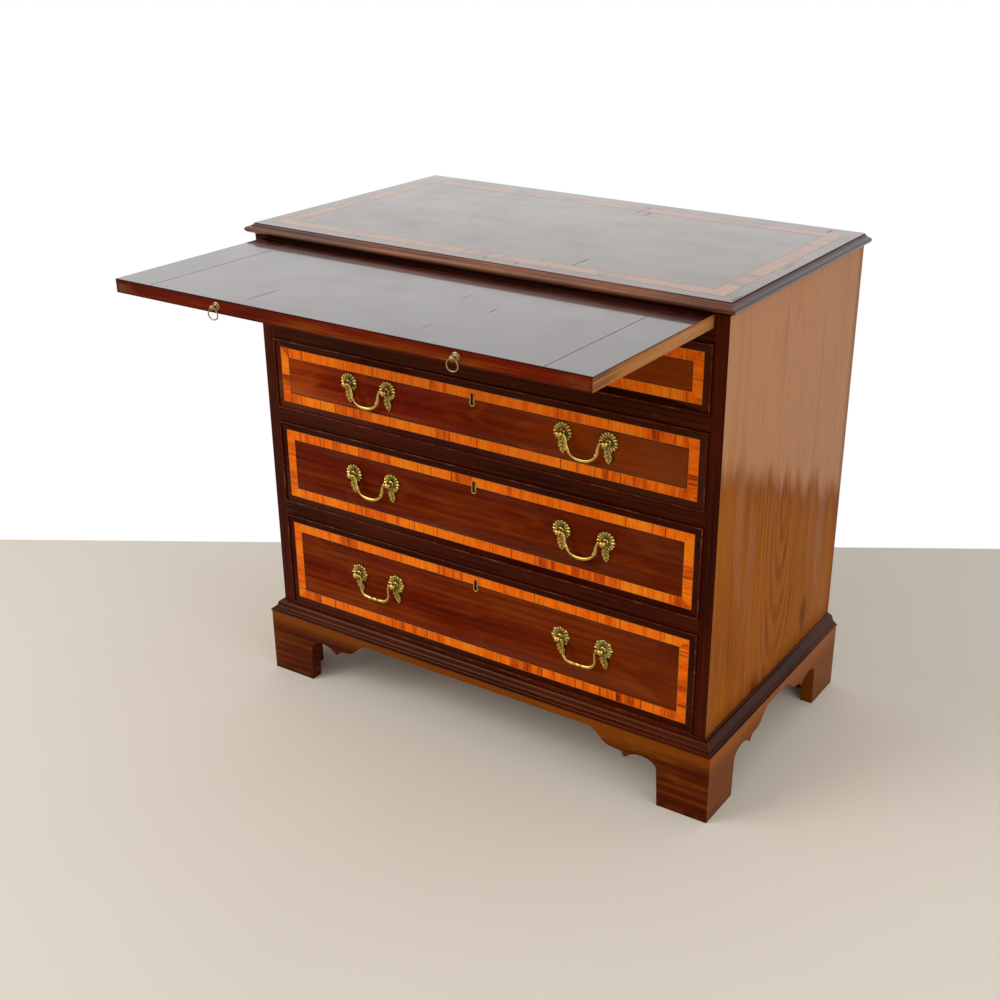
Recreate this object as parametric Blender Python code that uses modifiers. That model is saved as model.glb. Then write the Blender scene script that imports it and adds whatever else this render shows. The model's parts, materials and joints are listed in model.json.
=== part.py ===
"""A small Georgian mahogany chest of four long drawers under a pull-out brushing slide.

The chest stands on shaped bracket feet. The slide is drawn out. +X is to the right as one faces
the drawers, -Y is to the front and +Z is up. The origin is on the floor, under the middle of the
whole object with its slide out. All sizes are in metres.
"""

import math

import bmesh
import bpy
from mathutils import Matrix, Vector

# The gap that separate pieces keep where they meet, the lap by which glued pieces run into each
# other, and how far a cutter runs past what it cuts.
SEAT_GAP = 0.0003
GLUE_LAP = 0.002
OVERRUN = 0.004

# Carcass
CARCASS_WIDTH = 0.840
CARCASS_DEPTH = 0.480
SIDE_THICKNESS = 0.021
BOTTOM_THICKNESS = 0.020
BACK_THICKNESS = 0.010
BACK_REBATE_WIDTH = 0.011
BACK_BOARD_COUNT = 3
BACK_JOINT_WIDTH = 0.003
BACK_JOINT_DEPTH = 0.002
HOUSING_DEPTH = 0.006
HOUSING_STOP = 0.008

# Front openings, from the top drawer down, and the framing between them
OPENING_HEIGHTS = (0.1036, 0.1218, 0.1492, 0.1730)
RAIL_HEIGHT = 0.0224
SLIDE_RAIL_HEIGHT = 0.0192
RAIL_DEPTH = 0.060
RUNNER_WIDTH = 0.034
DUST_PANEL_THICKNESS = 0.006
STOP_WIDTH = 0.034
STOP_DEPTH = 0.026
STOP_CLEARANCE = 0.0016
STOP_OFFSET = 0.235

# Top board and its moulded edge, as shares of its projection and thickness, from the top down
TOP_THICKNESS = 0.019
TOP_PROJECTION = 0.0118
TOP_FILLET_SHARES = ((0.0, 1.0), (0.0, 0.91), (0.13, 0.89))
TOP_COVE_SHARES = ((0.55, 0.70), (0.84, 0.62))
TOP_NOSE_SHARES = ((0.97, 0.56), (1.0, 0.42), (0.95, 0.26), (0.80, 0.12), (0.58, 0.0))

# Base moulding, as shares of its projection and height, from the top down
BASE_HEIGHT = 0.0205
BASE_PROJECTION = 0.019
BASE_FILLET_SHARES = ((0.10, 1.0), (0.14, 0.93), (0.22, 0.905))
BASE_OVOLO_SHARES = ((0.34, 0.86), (0.45, 0.75), (0.51, 0.60), (0.55, 0.46), (0.62, 0.37), (0.71, 0.32))
BASE_BEAD_SHARES = ((0.73, 0.26), (0.81, 0.24), (0.88, 0.18), (0.89, 0.12), (1.0, 0.10), (1.0, 0.0))

# Bracket feet, with the outline of one foot as shares of its reach and of the apron's clear height
FOOT_HEIGHT = 0.1165
PLINTH_PROJECTION = 0.018
PLINTH_THICKNESS = 0.022
APRON_DEPTH = 0.013
BRACKET_REACH = 0.215
FOOT_WIDTH_SHARE = 0.404
ARCH_CENTRE_SHARES = (0.545, 0.62)
ARCH_RADIUS_SHARES = (0.127, 0.158)
ARCH_STEPS = 7
ARCH_END_DEGREES = 25
CUSP_SHARES = ((0.6865, 0.652), (0.714, 0.742))
OGEE_START_SHARES = (0.80, 0.758)
OGEE_STEPS = 6
REAR_BRACKET_WIDTH = 0.100
REAR_BRACKET_THICKNESS = 0.016
REAR_BRACKET_SHARES = ((0.0, 0.0), (0.62, 0.0), (0.66, 0.38), (0.78, 0.62), (1.0, 0.80), (1.0, 1.0), (0, 1.0))
FOOT_BLOCK_WIDTH = 0.038
FOOT_BLOCK_LIFT = 0.003

# Brushing slide
SLIDE_THICKNESS = 0.020
SLIDE_CLEARANCE = 0.0008
SLIDE_SIDE_CLEARANCE = 0.004
SLIDE_BACK_CLEARANCE = 0.020
SLIDE_HELD_LENGTH = 0.140
CLEAT_WIDTH = 0.068
CLEAT_TONGUE_LENGTH = 0.008
CLEAT_TONGUE_THICKNESS = 0.007
STOP_BATTEN_LENGTH = 0.300
STOP_BATTEN_DEPTH = 0.020
STOP_BATTEN_CLEARANCE = 0.001

# Slide pulls
PULL_OFFSET = 0.200
PULL_PLATE_RADIUS = 0.0062
PULL_PLATE_THICKNESS = 0.0016
PULL_NECK_RADIUS = 0.0017
PULL_BALL_RADIUS = 0.0036
PULL_PIVOT_OUT = 0.0080
PULL_SHANK_LENGTH = 0.014
RING_RADIUS = 0.0085
RING_WIRE_RADIUS = 0.0012
RING_BORE_CLEARANCE = 0.0009
RING_STEPS = 18
RING_SIDES = 6

# Drawers
FRONT_THICKNESS = 0.022
FRONT_CLEARANCE = 0.0007
COCKBEAD_WIDTH = 0.0032
COCKBEAD_PROUD = 0.003
COCKBEAD_ROUNDING_SHARE = 0.42
LINING_THICKNESS = 0.010
LINING_INSET = 0.0010
LINING_LIFT = 0.0006
LINING_TOP_DROP = 0.005
DRAWER_END_CLEARANCE = 0.018
DRAWER_BACK_THICKNESS = 0.009
DRAWER_BACK_DROP = 0.006
DRAWER_BOTTOM_THICKNESS = 0.0065
DRAWER_BOTTOM_RISE = 0.006
DRAWER_BOTTOM_TONGUE = 0.005
DOVETAIL_PITCH = 0.034
DOVETAIL_LENGTH = 0.011
TAIL_ROOT_SHARE = 0.56
TAIL_TIP_SHARE = 0.74

# Locks and keyholes
BOLT_WIDTH = 0.022
BOLT_THICKNESS = 0.0048
BOLT_HEIGHT = 0.017
BOLT_BACK_WALL = 0.0026
BOLT_TRAVEL = 0.007
BOLT_CLEARANCE = 0.0004
KEYHOLE_DROP = 0.0240
KEYHOLE_RADIUS = 0.0026
KEYHOLE_SKIRT = 0.0155
KEYHOLE_SKIRT_WIDTH_SHARE = 0.62
KEYHOLE_STEPS = 8
KEY_CHAMBER_WIDTH = 0.012

# Handles: two posts, each with its scalloped rosette and leaf, and a swan-neck bail between them
HANDLE_OFFSET = 0.2015
HANDLE_SPREAD = 0.078
HANDLE_RAISE = 0.0130
ROSETTE_RADIUS = 0.0155
ROSETTE_FACE_SHARE = 0.74
ROSETTE_THICKNESS = 0.0030
ROSETTE_SCALLOPS = 12
FLOWER_LOBES = 8
SCALLOP_SHARE = 0.04
LOBE_SHARE = 0.10
LEAF_LENGTH = 0.0215
LEAF_WIDTH = 0.0145
LEAF_THICKNESS = 0.0022
LEAF_STEPS = 5
LEAF_START_SHARE = 0.28
LEAF_OVERLAP_SHARE = 0.16
POST_RADIUS = 0.0022
POST_HOLE_CLEARANCE = 0.0004
COLLAR_RADIUS = 0.0045
COLLAR_THICKNESS = 0.0014
NECK_SHARE = 0.5
BALL_RADIUS = 0.0060
BALL_STEPS = 6
PIVOT_OUT = 0.0115
TURNING_STEPS = 8
NUT_RADIUS = 0.0050
NUT_THICKNESS = 0.003
PIN_RADIUS = 0.0015
PIN_CLEARANCE = 0.0004
PIN_DEPTH = 0.0045
BAIL_DROP = 0.0345
BAIL_WIRE_RADIUS = 0.0023
BAIL_END_CLEARANCE = 0.0012
NECK_SHARES = ((1.0, 0.0), (0.895, 0.14), (0.845, 0.30), (0.83, 0.46), (0.78, 0.60), (0.715, 0.715))
BOW_SHARES = ((0.60, 0.83), (0.44, 0.92), (0.24, 0.98), (0.0, 1.0))
PLAIN_NECK_SHARES = ((1.0, 0.0), (0.93, 0.10), (0.90, 0.25), (0.91, 0.42), (0.92, 0.60), (0.87, 0.76))
PLAIN_BOW_SHARES = ((0.74, 0.90), (0.56, 0.97), (0.30, 1.0), (0.0, 1.0))
BAIL_COLLAR_RADIUS = 0.0038
BAIL_COLLAR_LENGTH = 0.0040
KNOP_RADIUS = 0.0034
KNOP_LENGTH = 0.0070
PLAIN_HANDLE_DRAWER = 4

# Colours, as linear red, green and blue
MAHOGANY = (0.110, 0.026, 0.010)
DARK_MAHOGANY = (0.035, 0.010, 0.005)
SIDE_MAHOGANY = (0.270, 0.115, 0.030)
FOOT_MAHOGANY = (0.190, 0.060, 0.015)
OAK = (0.380, 0.250, 0.120)
PINE = (0.450, 0.310, 0.160)
BRASS = (0.560, 0.430, 0.160)
STEEL = (0.220, 0.210, 0.200)

# Places that follow from the sizes
WELD = SEAT_GAP / 30
FLAT_ANGLE = math.radians(0.2)
LEFT_AND_RIGHT = ((-1, "left"), (1, "right"))
INNER_HALF = CARCASS_WIDTH / 2 - SIDE_THICKNESS
PULL_REACH = PULL_PIVOT_OUT + PULL_BALL_RADIUS
SLIDE_LENGTH = CARCASS_DEPTH - BACK_THICKNESS - SLIDE_BACK_CLEARANCE
SLIDE_OUT = SLIDE_LENGTH - SLIDE_HELD_LENGTH
FRONT = (SLIDE_OUT + PULL_REACH - CARCASS_DEPTH) / 2
BACK = FRONT + CARCASS_DEPTH
INSIDE_BACK = BACK - BACK_THICKNESS
APRON_CLEAR_HEIGHT = FOOT_HEIGHT - APRON_DEPTH
BOTTOM_TOP = FOOT_HEIGHT + BASE_HEIGHT
BOTTOM_UNDERSIDE = BOTTOM_TOP - BOTTOM_THICKNESS
SLIDE_FRONT = FRONT - SLIDE_OUT
STOP_HEIGHT = LINING_LIFT + DRAWER_BOTTOM_RISE - STOP_CLEARANCE


def opening_levels():
    """The lower and upper height of each drawer opening, from the top drawer down."""
    levels = []
    low = BOTTOM_TOP
    for height in reversed(OPENING_HEIGHTS):
        levels.insert(0, (low, low + height))
        low += height + RAIL_HEIGHT
    return levels


OPENINGS = opening_levels()
SLIDE_RAIL_TOP = OPENINGS[0][1] + SLIDE_RAIL_HEIGHT
SLIDE_UNDERSIDE = SLIDE_RAIL_TOP + SLIDE_CLEARANCE
SLIDE_TOP = SLIDE_UNDERSIDE + SLIDE_THICKNESS
TOP_UNDERSIDE = SLIDE_TOP + SLIDE_CLEARANCE
FRAME_LEVELS = [(OPENINGS[0][1], SLIDE_RAIL_TOP)] + [(low - RAIL_HEIGHT, low) for low, _ in OPENINGS[:-1]]


def clear_scene():
    for old in list(bpy.data.objects):
        bpy.data.objects.remove(old, do_unlink=True)


def make_collection(name):
    collection = bpy.data.collections.new(name)
    bpy.context.scene.collection.children.link(collection)
    return collection


clear_scene()
CHEST = make_collection("bachelors_chest")
CUTTERS = make_collection("cutters")


# Basic shapes


def mesh_object(name, bm, location=(0.0, 0.0, 0.0)):
    """An object in the chest's collection made of a bmesh, which is freed."""
    mesh = bpy.data.meshes.new(name)
    bm.to_mesh(mesh)
    bm.free()
    obj = bpy.data.objects.new(name, mesh)
    obj.location = location
    CHEST.objects.link(obj)
    return obj


def board(name, low, high):
    """A squared board between two opposite corners."""
    low = Vector(low)
    high = Vector(high)
    bm = bmesh.new()
    bmesh.ops.create_cube(bm, size=1.0)
    bmesh.ops.scale(bm, vec=high - low, verts=bm.verts)
    return mesh_object(name, bm, (low + high) / 2)


def rod(name, start, end, radius):
    """A round bar from start to end."""
    start = Vector(start)
    end = Vector(end)
    bm = bmesh.new()
    bmesh.ops.create_cone(
        bm, cap_ends=True, segments=TURNING_STEPS, radius1=radius, radius2=radius, depth=(end - start).length
    )
    obj = mesh_object(name, bm, (start + end) / 2)
    obj.rotation_mode = "QUATERNION"
    obj.rotation_quaternion = (end - start).to_track_quat("Z", "Y")
    return obj


def evaluated_mesh(obj):
    """A new mesh of the object with its modifiers applied, in world space."""
    bpy.context.view_layer.update()
    depsgraph = bpy.context.evaluated_depsgraph_get()
    mesh = bpy.data.meshes.new_from_object(obj.evaluated_get(depsgraph), depsgraph=depsgraph)
    mesh.transform(obj.matrix_world)
    return mesh


def gather(name, pieces, origin=(0.0, 0.0, 0.0), weld=0.0):
    """One object made of the finished shapes of several, which are removed. Its origin is given.

    With a weld distance, close points become one and flat areas become single faces.
    """
    bm = bmesh.new()
    for piece in pieces:
        mesh = evaluated_mesh(piece)
        bm.from_mesh(mesh)
        bpy.data.meshes.remove(mesh)
    for piece in pieces:
        bpy.data.objects.remove(piece, do_unlink=True)
    if weld:
        bmesh.ops.remove_doubles(bm, verts=bm.verts, dist=weld)
        bmesh.ops.dissolve_limit(bm, angle_limit=FLAT_ANGLE, verts=bm.verts, edges=bm.edges)
    bmesh.ops.translate(bm, vec=-Vector(origin), verts=bm.verts)
    return mesh_object(name, bm, origin)


# How a flat outline is turned so that its thickness runs along the named axis.
FACING_TURNS = {
    "X": Matrix(((0, 0, 1, 0), (1, 0, 0, 0), (0, 1, 0, 0), (0, 0, 0, 1))),
    "Y": Matrix(((1, 0, 0, 0), (0, 0, -1, 0), (0, 1, 0, 0), (0, 0, 0, 1))),
    "Z": Matrix.Identity(4),
}
FACING_AXES = {"X": Vector((1, 0, 0)), "Y": Vector((0, 1, 0)), "Z": Vector((0, 0, 1))}


def plate(name, outline, facing, low, high, holes=()):
    """A flat outline with holes, filled and given thickness from low to high along one axis.

    Facing X the outline is in Y and Z, facing Y in X and Z, and facing Z in X and Y.
    """
    curve = bpy.data.curves.new(name, "CURVE")
    curve.dimensions = "2D"
    curve.fill_mode = "BOTH"
    curve.extrude = (high - low) / 2
    for points in (outline, *holes):
        spline = curve.splines.new("POLY")
        spline.points.add(len(points) - 1)
        spline.use_cyclic_u = True
        for point, (across, up) in zip(spline.points, points):
            point.co = (across, up, 0.0, 1.0)
    flat = bpy.data.objects.new(name, curve)
    CHEST.objects.link(flat)
    middle = FACING_AXES[facing] * (low + high) / 2
    flat.matrix_world = Matrix.Translation(middle) @ FACING_TURNS[facing]
    obj = gather(name, [flat], middle, WELD)
    bpy.data.curves.remove(curve)
    return obj


def wire(name, points, radius):
    """A round wire with closed ends along a line of points."""
    curve = bpy.data.curves.new(name, "CURVE")
    curve.dimensions = "3D"
    curve.bevel_depth = radius
    curve.bevel_resolution = 2
    curve.use_fill_caps = True
    spline = curve.splines.new("POLY")
    spline.points.add(len(points) - 1)
    for point, place in zip(spline.points, points):
        point.co = (*place, 1.0)
    line = bpy.data.objects.new(name, curve)
    CHEST.objects.link(line)
    obj = gather(name, [line], weld=WELD)
    bpy.data.curves.remove(curve)
    return obj


def turned(name, profile, outward):
    """A turned shape: its profile lists radius and distance out, from the outer end inwards."""
    bm = bmesh.new()
    ring = [bm.verts.new((radius, 0.0, out)) for radius, out in profile]
    for first, second in zip(ring, ring[1:]):
        bm.edges.new((first, second))
    obj = mesh_object(name, bm)
    obj.rotation_mode = "QUATERNION"
    obj.rotation_quaternion = Vector(outward).to_track_quat("Z", "X")
    screw = obj.modifiers.new("turning", "SCREW")
    screw.axis = "Z"
    screw.steps = TURNING_STEPS
    screw.render_steps = TURNING_STEPS
    screw.use_merge_vertices = True
    screw.merge_threshold = WELD
    return obj


def boolean(obj, other, operation):
    """Adds a Boolean with another shape, which becomes a hidden cutter."""
    if other.name in CHEST.objects:
        CHEST.objects.unlink(other)
        CUTTERS.objects.link(other)
        other.hide_render = True
        other.display_type = "WIRE"
    change = obj.modifiers.new(operation.lower(), "BOOLEAN")
    change.operation = operation
    change.object = other


def cut(obj, *cutters):
    for cutter in cutters:
        boolean(obj, cutter, "DIFFERENCE")
    return obj


def fuse(obj, *others):
    for other in others:
        boolean(obj, other, "UNION")
    return obj


def smooth(obj, degrees=40):
    """Shades a round piece smooth up to the given edge angle."""
    obj.data.shade_smooth()
    obj.data.set_sharp_from_angle(angle=math.radians(degrees))
    return obj


def finish(obj, colour, roughness, metallic=0.0):
    """Gives the object its own material."""
    material = bpy.data.materials.new(obj.name)
    material.use_nodes = True
    shader = material.node_tree.nodes["Principled BSDF"]
    shader.inputs["Base Color"].default_value = (*colour, 1.0)
    shader.inputs["Roughness"].default_value = roughness
    shader.inputs["Metallic"].default_value = metallic
    material.diffuse_color = (*colour, 1.0)
    obj.data.materials.clear()
    obj.data.materials.append(material)
    return obj


def carrier(name, location, pieces):
    """An empty on a joint's axis, which carries the pieces that move together."""
    empty = bpy.data.objects.new(name, None)
    empty.location = location
    CHEST.objects.link(empty)
    bpy.context.view_layer.update()
    for piece in pieces:
        piece.parent = empty
        piece.matrix_parent_inverse = empty.matrix_world.inverted()


def rectangle(low, high):
    return [(low[0], low[1]), (high[0], low[1]), (high[0], high[1]), (low[0], high[1])]


def arc(centre, radii, start, end, steps):
    """Points of an elliptical arc between two angles in degrees."""
    points = []
    for step in range(steps + 1):
        angle = math.radians(start + (end - start) * step / steps)
        points.append((centre[0] + radii[0] * math.cos(angle), centre[1] + radii[1] * math.sin(angle)))
    return points


def between(first, second):
    """The two values in rising order."""
    return min(first, second), max(first, second)


def mitre_ends(obj, along, across, outer, inward, ends=(-1, 1)):
    """Slopes the end faces of a straight length at 45 degrees.

    Every vertex at an end moves back along the length by its distance from the outer face, which
    lies at the place outer on the axis across, inward being the sign of the way into the piece.
    """
    bpy.context.view_layer.update()
    places = [obj.matrix_world @ vertex.co for vertex in obj.data.vertices]
    limits = {-1: min(place[along] for place in places), 1: max(place[along] for place in places)}
    for vertex, place in zip(obj.data.vertices, places):
        for end in ends:
            if abs(place[along] - limits[end]) < WELD:
                depth = (place[across] - outer) * inward
                vertex.co[along] -= end * (depth + SEAT_GAP / 2)
    return obj


def moulded(name, outline_at, section):
    """A board whose outline steps in and out with its height, as a moulding's section says.

    The section lists distances out from the carcass and heights, from the top down. The outline at
    a distance out is a list of places in X and Y, which has the same corners at every height.
    """
    bm = bmesh.new()
    levels = section[::-1]
    out, height = levels[0]
    layers = [bm.faces.new([bm.verts.new((*place, height)) for place in outline_at(out)])]
    for out, height in levels[1:]:
        grown = bmesh.ops.extrude_face_region(bm, geom=layers[-1:])["geom"]
        layers += [part for part in grown if isinstance(part, bmesh.types.BMFace)]
        for vertex, place in zip(layers[-1].verts, outline_at(out)):
            vertex.co = (*place, height)
    bmesh.ops.delete(bm, geom=layers[1:-1], context="FACES_ONLY")
    bmesh.ops.recalc_face_normals(bm, faces=bm.faces)
    return mesh_object(name, bm)


# Carcass


def side(sign, word):
    """One end of the carcass, housed for the frames and rebated for the back."""
    outer = sign * CARCASS_WIDTH / 2
    inner = sign * INNER_HALF
    low, high = between(outer, inner)
    obj = board("side_" + word, (low, FRONT, FOOT_HEIGHT), (high, BACK, TOP_UNDERSIDE - SEAT_GAP))
    housings = []
    for bottom, top in FRAME_LEVELS + [(BOTTOM_UNDERSIDE, BOTTOM_TOP)]:
        low, high = between(inner - sign * OVERRUN, inner + sign * HOUSING_DEPTH)
        corner = (low, FRONT + HOUSING_STOP - SEAT_GAP, bottom - SEAT_GAP)
        housings.append(board("housing", corner, (high, BACK + OVERRUN, top + SEAT_GAP)))
    low, high = between(inner - sign * OVERRUN, inner + sign * BACK_REBATE_WIDTH)
    rebate_low = (low, INSIDE_BACK - SEAT_GAP, FOOT_HEIGHT - OVERRUN)
    rebate = board("rebate", rebate_low, (high, BACK + OVERRUN, TOP_UNDERSIDE + OVERRUN))
    cut(obj, gather("housings", housings), rebate)
    finish(obj, SIDE_MAHOGANY, 0.3)


def tongued_board(name, low, high):
    """A board across the carcass, narrowed in front and let into the sides behind."""
    shoulder = INNER_HALF - SEAT_GAP
    tongue = INNER_HALF + HOUSING_DEPTH - SEAT_GAP
    step = FRONT + HOUSING_STOP
    obj = board(name, (-tongue, step, low), (tongue, INSIDE_BACK - SEAT_GAP, high))
    return fuse(obj, board("narrow_front", (-shoulder, FRONT, low), (shoulder, step + GLUE_LAP, high)))


def drawer_stops(level):
    """The two small blocks that a closed drawer's front comes up against."""
    blocks = []
    front = FRONT + FRONT_THICKNESS + SEAT_GAP
    for sign, _ in LEFT_AND_RIGHT:
        low = sign * STOP_OFFSET - STOP_WIDTH / 2
        corner = (low, front, level - GLUE_LAP)
        blocks.append(board("stop", corner, (low + STOP_WIDTH, front + STOP_DEPTH, level + STOP_HEIGHT)))
    return blocks


def bolt_mortise(level):
    """The pocket in a rail's underside that takes the lock bolt of the drawer below."""
    margin = 2 * BOLT_CLEARANCE
    back = FRONT + FRONT_THICKNESS - BOLT_BACK_WALL
    half = BOLT_WIDTH / 2 + margin
    corner = (-half, back - BOLT_THICKNESS - margin, level - OVERRUN)
    return board("bolt_mortise", corner, (half, back + margin, level + BOLT_TRAVEL + margin))


def dust_frame(number, low, high):
    """The rail, runners and thin dust panel between two drawers, glued up as one frame."""
    obj = tongued_board("dust_frame_%d" % number, low, high)
    half = INNER_HALF - RUNNER_WIDTH
    middle = (low + high) / 2
    panel = DUST_PANEL_THICKNESS / 2
    start = FRONT + RAIL_DEPTH
    end = INSIDE_BACK - RUNNER_WIDTH
    above = board("upper_recess", (-half, start, middle + panel), (half, end, high + OVERRUN))
    below = board("lower_recess", (-half, start, low - OVERRUN), (half, end, middle - panel))
    cut(obj, above, below, bolt_mortise(low))
    if number > 1:
        fuse(obj, *drawer_stops(high))
    finish(obj, DARK_MAHOGANY, 0.35)


def bottom_board():
    obj = tongued_board("bottom_board", BOTTOM_UNDERSIDE, BOTTOM_TOP)
    finish(fuse(obj, *drawer_stops(BOTTOM_TOP)), PINE, 0.8)


def back_panel():
    """Long boards glued edge to edge in the rebates, with a groove along each joint."""
    half = INNER_HALF + BACK_REBATE_WIDTH - SEAT_GAP
    low = BOTTOM_UNDERSIDE
    high = TOP_UNDERSIDE - SEAT_GAP
    obj = board("back_panel", (-half, INSIDE_BACK, low), (half, BACK, high))
    pitch = (high - low) / BACK_BOARD_COUNT
    for number in range(1, BACK_BOARD_COUNT):
        level = low + number * pitch
        corner = (-half - OVERRUN, BACK - BACK_JOINT_DEPTH, level - BACK_JOINT_WIDTH / 2)
        far_corner = (half + OVERRUN, BACK + OVERRUN, level + BACK_JOINT_WIDTH / 2)
        cut(obj, board("joint_groove", corner, far_corner))
    finish(obj, PINE, 0.8)


def top_outline(out):
    """The top board's outline where its moulding stands out by the given distance."""
    half = CARCASS_WIDTH / 2 + out
    return rectangle((-half, FRONT - out), (half, BACK))


def top_board():
    """The top, moulded on its front and ends."""
    shares = TOP_FILLET_SHARES + TOP_COVE_SHARES + TOP_NOSE_SHARES
    section = [(out * TOP_PROJECTION, TOP_UNDERSIDE + up * TOP_THICKNESS) for out, up in shares]
    finish(moulded("top_board", top_outline, section), MAHOGANY, 0.2)


def base_outline(out):
    """The outline of the moulding round the carcass, open at the back, where it stands out so far."""
    outer = CARCASS_WIDTH / 2 + out
    inner = CARCASS_WIDTH / 2 + SEAT_GAP
    left = [(-inner, FRONT - SEAT_GAP), (-inner, BACK), (-outer, BACK), (-outer, FRONT - out)]
    return left + [(-across, deep) for across, deep in reversed(left)]


def base_moulding():
    """The moulding planted round the foot of the carcass, mitred and glued at the corners."""
    shares = BASE_FILLET_SHARES + BASE_OVOLO_SHARES + BASE_BEAD_SHARES
    section = [(out * BASE_PROJECTION, FOOT_HEIGHT + up * BASE_HEIGHT) for out, up in shares]
    finish(moulded("base_moulding", base_outline, section), DARK_MAHOGANY, 0.3)


# Feet


def bracket_curve():
    """The shaped inner edge of one bracket foot, from the floor up to the apron.

    Its points are distances from the foot's corner and heights above the floor.
    """
    points = [(FOOT_WIDTH_SHARE, 0.0)]
    points += arc(ARCH_CENTRE_SHARES, ARCH_RADIUS_SHARES, 180, ARCH_END_DEGREES, ARCH_STEPS)
    points += CUSP_SHARES
    for step in range(OGEE_STEPS + 1):
        share = step / OGEE_STEPS
        along = OGEE_START_SHARES[0] + (1 - OGEE_START_SHARES[0]) * share
        rise = (1 - math.cos(math.pi * share)) / 2
        points.append((along, OGEE_START_SHARES[1] + (1 - OGEE_START_SHARES[1]) * rise))
    return [(along * BRACKET_REACH, up * APRON_CLEAR_HEIGHT) for along, up in points]


def plinth_outline(low, high):
    """A plinth board's outline between two corners, with a foot at each end."""
    top = FOOT_HEIGHT - SEAT_GAP
    left = [(low + along, up) for along, up in bracket_curve()]
    right = [(high - along, up) for along, up in reversed(bracket_curve())]
    return [(low, top), (low, 0.0)] + left + right + [(high, 0.0), (high, top)]


def foot_block(sign, inner, low, high):
    """A square glue block inside the corner of a foot, between two places from front to back."""
    first, last = between(sign * inner, sign * (inner - FOOT_BLOCK_WIDTH))
    return board("block", (first, low, FOOT_BLOCK_LIFT), (last, high, FOOT_HEIGHT - 2 * SEAT_GAP))


def plinth_front():
    """The front of the plinth with the glue blocks behind its feet."""
    half = CARCASS_WIDTH / 2 + PLINTH_PROJECTION
    face = FRONT - PLINTH_PROJECTION
    rear = face + PLINTH_THICKNESS
    obj = plate("plinth_front", plinth_outline(-half, half), "Y", face, rear)
    mitre_ends(obj, 0, 1, face, 1)
    inner = half - PLINTH_THICKNESS - SEAT_GAP
    for sign, _ in LEFT_AND_RIGHT:
        fuse(obj, foot_block(sign, inner, rear - GLUE_LAP, rear + FOOT_BLOCK_WIDTH))
    finish(obj, FOOT_MAHOGANY, 0.35)


def plinth_side(sign, word):
    """One end of the plinth, with the bracket and glue block of its rear foot."""
    half = CARCASS_WIDTH / 2 + PLINTH_PROJECTION
    face = FRONT - PLINTH_PROJECTION
    low, high = between(sign * half, sign * (half - PLINTH_THICKNESS))
    obj = plate("plinth_" + word, plinth_outline(face, BACK), "X", low, high)
    mitre_ends(obj, 1, 0, sign * half, -sign, ends=(-1,))
    root = half - PLINTH_THICKNESS + GLUE_LAP
    top = FOOT_HEIGHT - 2 * SEAT_GAP
    outline = [(sign * (root - along * REAR_BRACKET_WIDTH), up * top) for along, up in REAR_BRACKET_SHARES]
    bracket_front = BACK - REAR_BRACKET_THICKNESS
    bracket = plate("rear_bracket", outline, "Y", bracket_front, BACK)
    block_front = bracket_front - FOOT_BLOCK_WIDTH
    fuse(obj, bracket, foot_block(sign, root, block_front, bracket_front + GLUE_LAP))
    finish(obj, FOOT_MAHOGANY, 0.35)


# Brushing slide


def slide_panel(rear, joint, holes):
    """The slide's middle board, tongued at its ends, with the stop batten under it."""
    middle = (SLIDE_UNDERSIDE + SLIDE_TOP) / 2
    tongue = CLEAT_TONGUE_THICKNESS / 2
    tip = joint + CLEAT_TONGUE_LENGTH
    obj = board("slide_panel", (-joint, SLIDE_FRONT, SLIDE_UNDERSIDE), (joint, rear, SLIDE_TOP))
    fuse(obj, board("end_tongues", (-tip, SLIDE_FRONT, middle - tongue), (tip, rear, middle + tongue)))
    panel_top = (FRAME_LEVELS[0][0] + FRAME_LEVELS[0][1] + DUST_PANEL_THICKNESS) / 2
    front = FRONT + RAIL_DEPTH + STOP_BATTEN_CLEARANCE
    corner = (-STOP_BATTEN_LENGTH / 2, front, panel_top + STOP_BATTEN_CLEARANCE)
    far_corner = (STOP_BATTEN_LENGTH / 2, front + STOP_BATTEN_DEPTH, SLIDE_UNDERSIDE + GLUE_LAP)
    fuse(obj, board("stop_batten", corner, far_corner))
    return finish(cut(obj, *holes), MAHOGANY, 0.2)


def slide_cleat(sign, word, rear, joint, half):
    """The cross piece grooved over one end of the slide's middle board."""
    middle = (SLIDE_UNDERSIDE + SLIDE_TOP) / 2
    shoulder = joint + SEAT_GAP
    bed = joint + CLEAT_TONGUE_LENGTH + SEAT_GAP
    lip = CLEAT_TONGUE_THICKNESS / 2 + SEAT_GAP
    section = [(half, SLIDE_UNDERSIDE), (half, SLIDE_TOP), (shoulder, SLIDE_TOP)]
    section += [(shoulder, middle + lip), (bed, middle + lip), (bed, middle - lip)]
    section += [(shoulder, middle - lip), (shoulder, SLIDE_UNDERSIDE)]
    obj = plate("slide_cleat_" + word, [(sign * x, z) for x, z in section], "Y", SLIDE_FRONT, rear)
    return finish(obj, MAHOGANY, 0.2)


def ball_profile(radius, centre, neck_radius):
    """A ball on a neck, from its outer pole to the neck, as radii and distances out."""
    points = []
    neck_angle = math.degrees(math.asin(neck_radius / radius))
    for step in range(BALL_STEPS + 1):
        angle = math.radians((180 - neck_angle) * step / BALL_STEPS)
        points.append((radius * math.sin(angle), centre + radius * math.cos(angle)))
    return points


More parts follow.
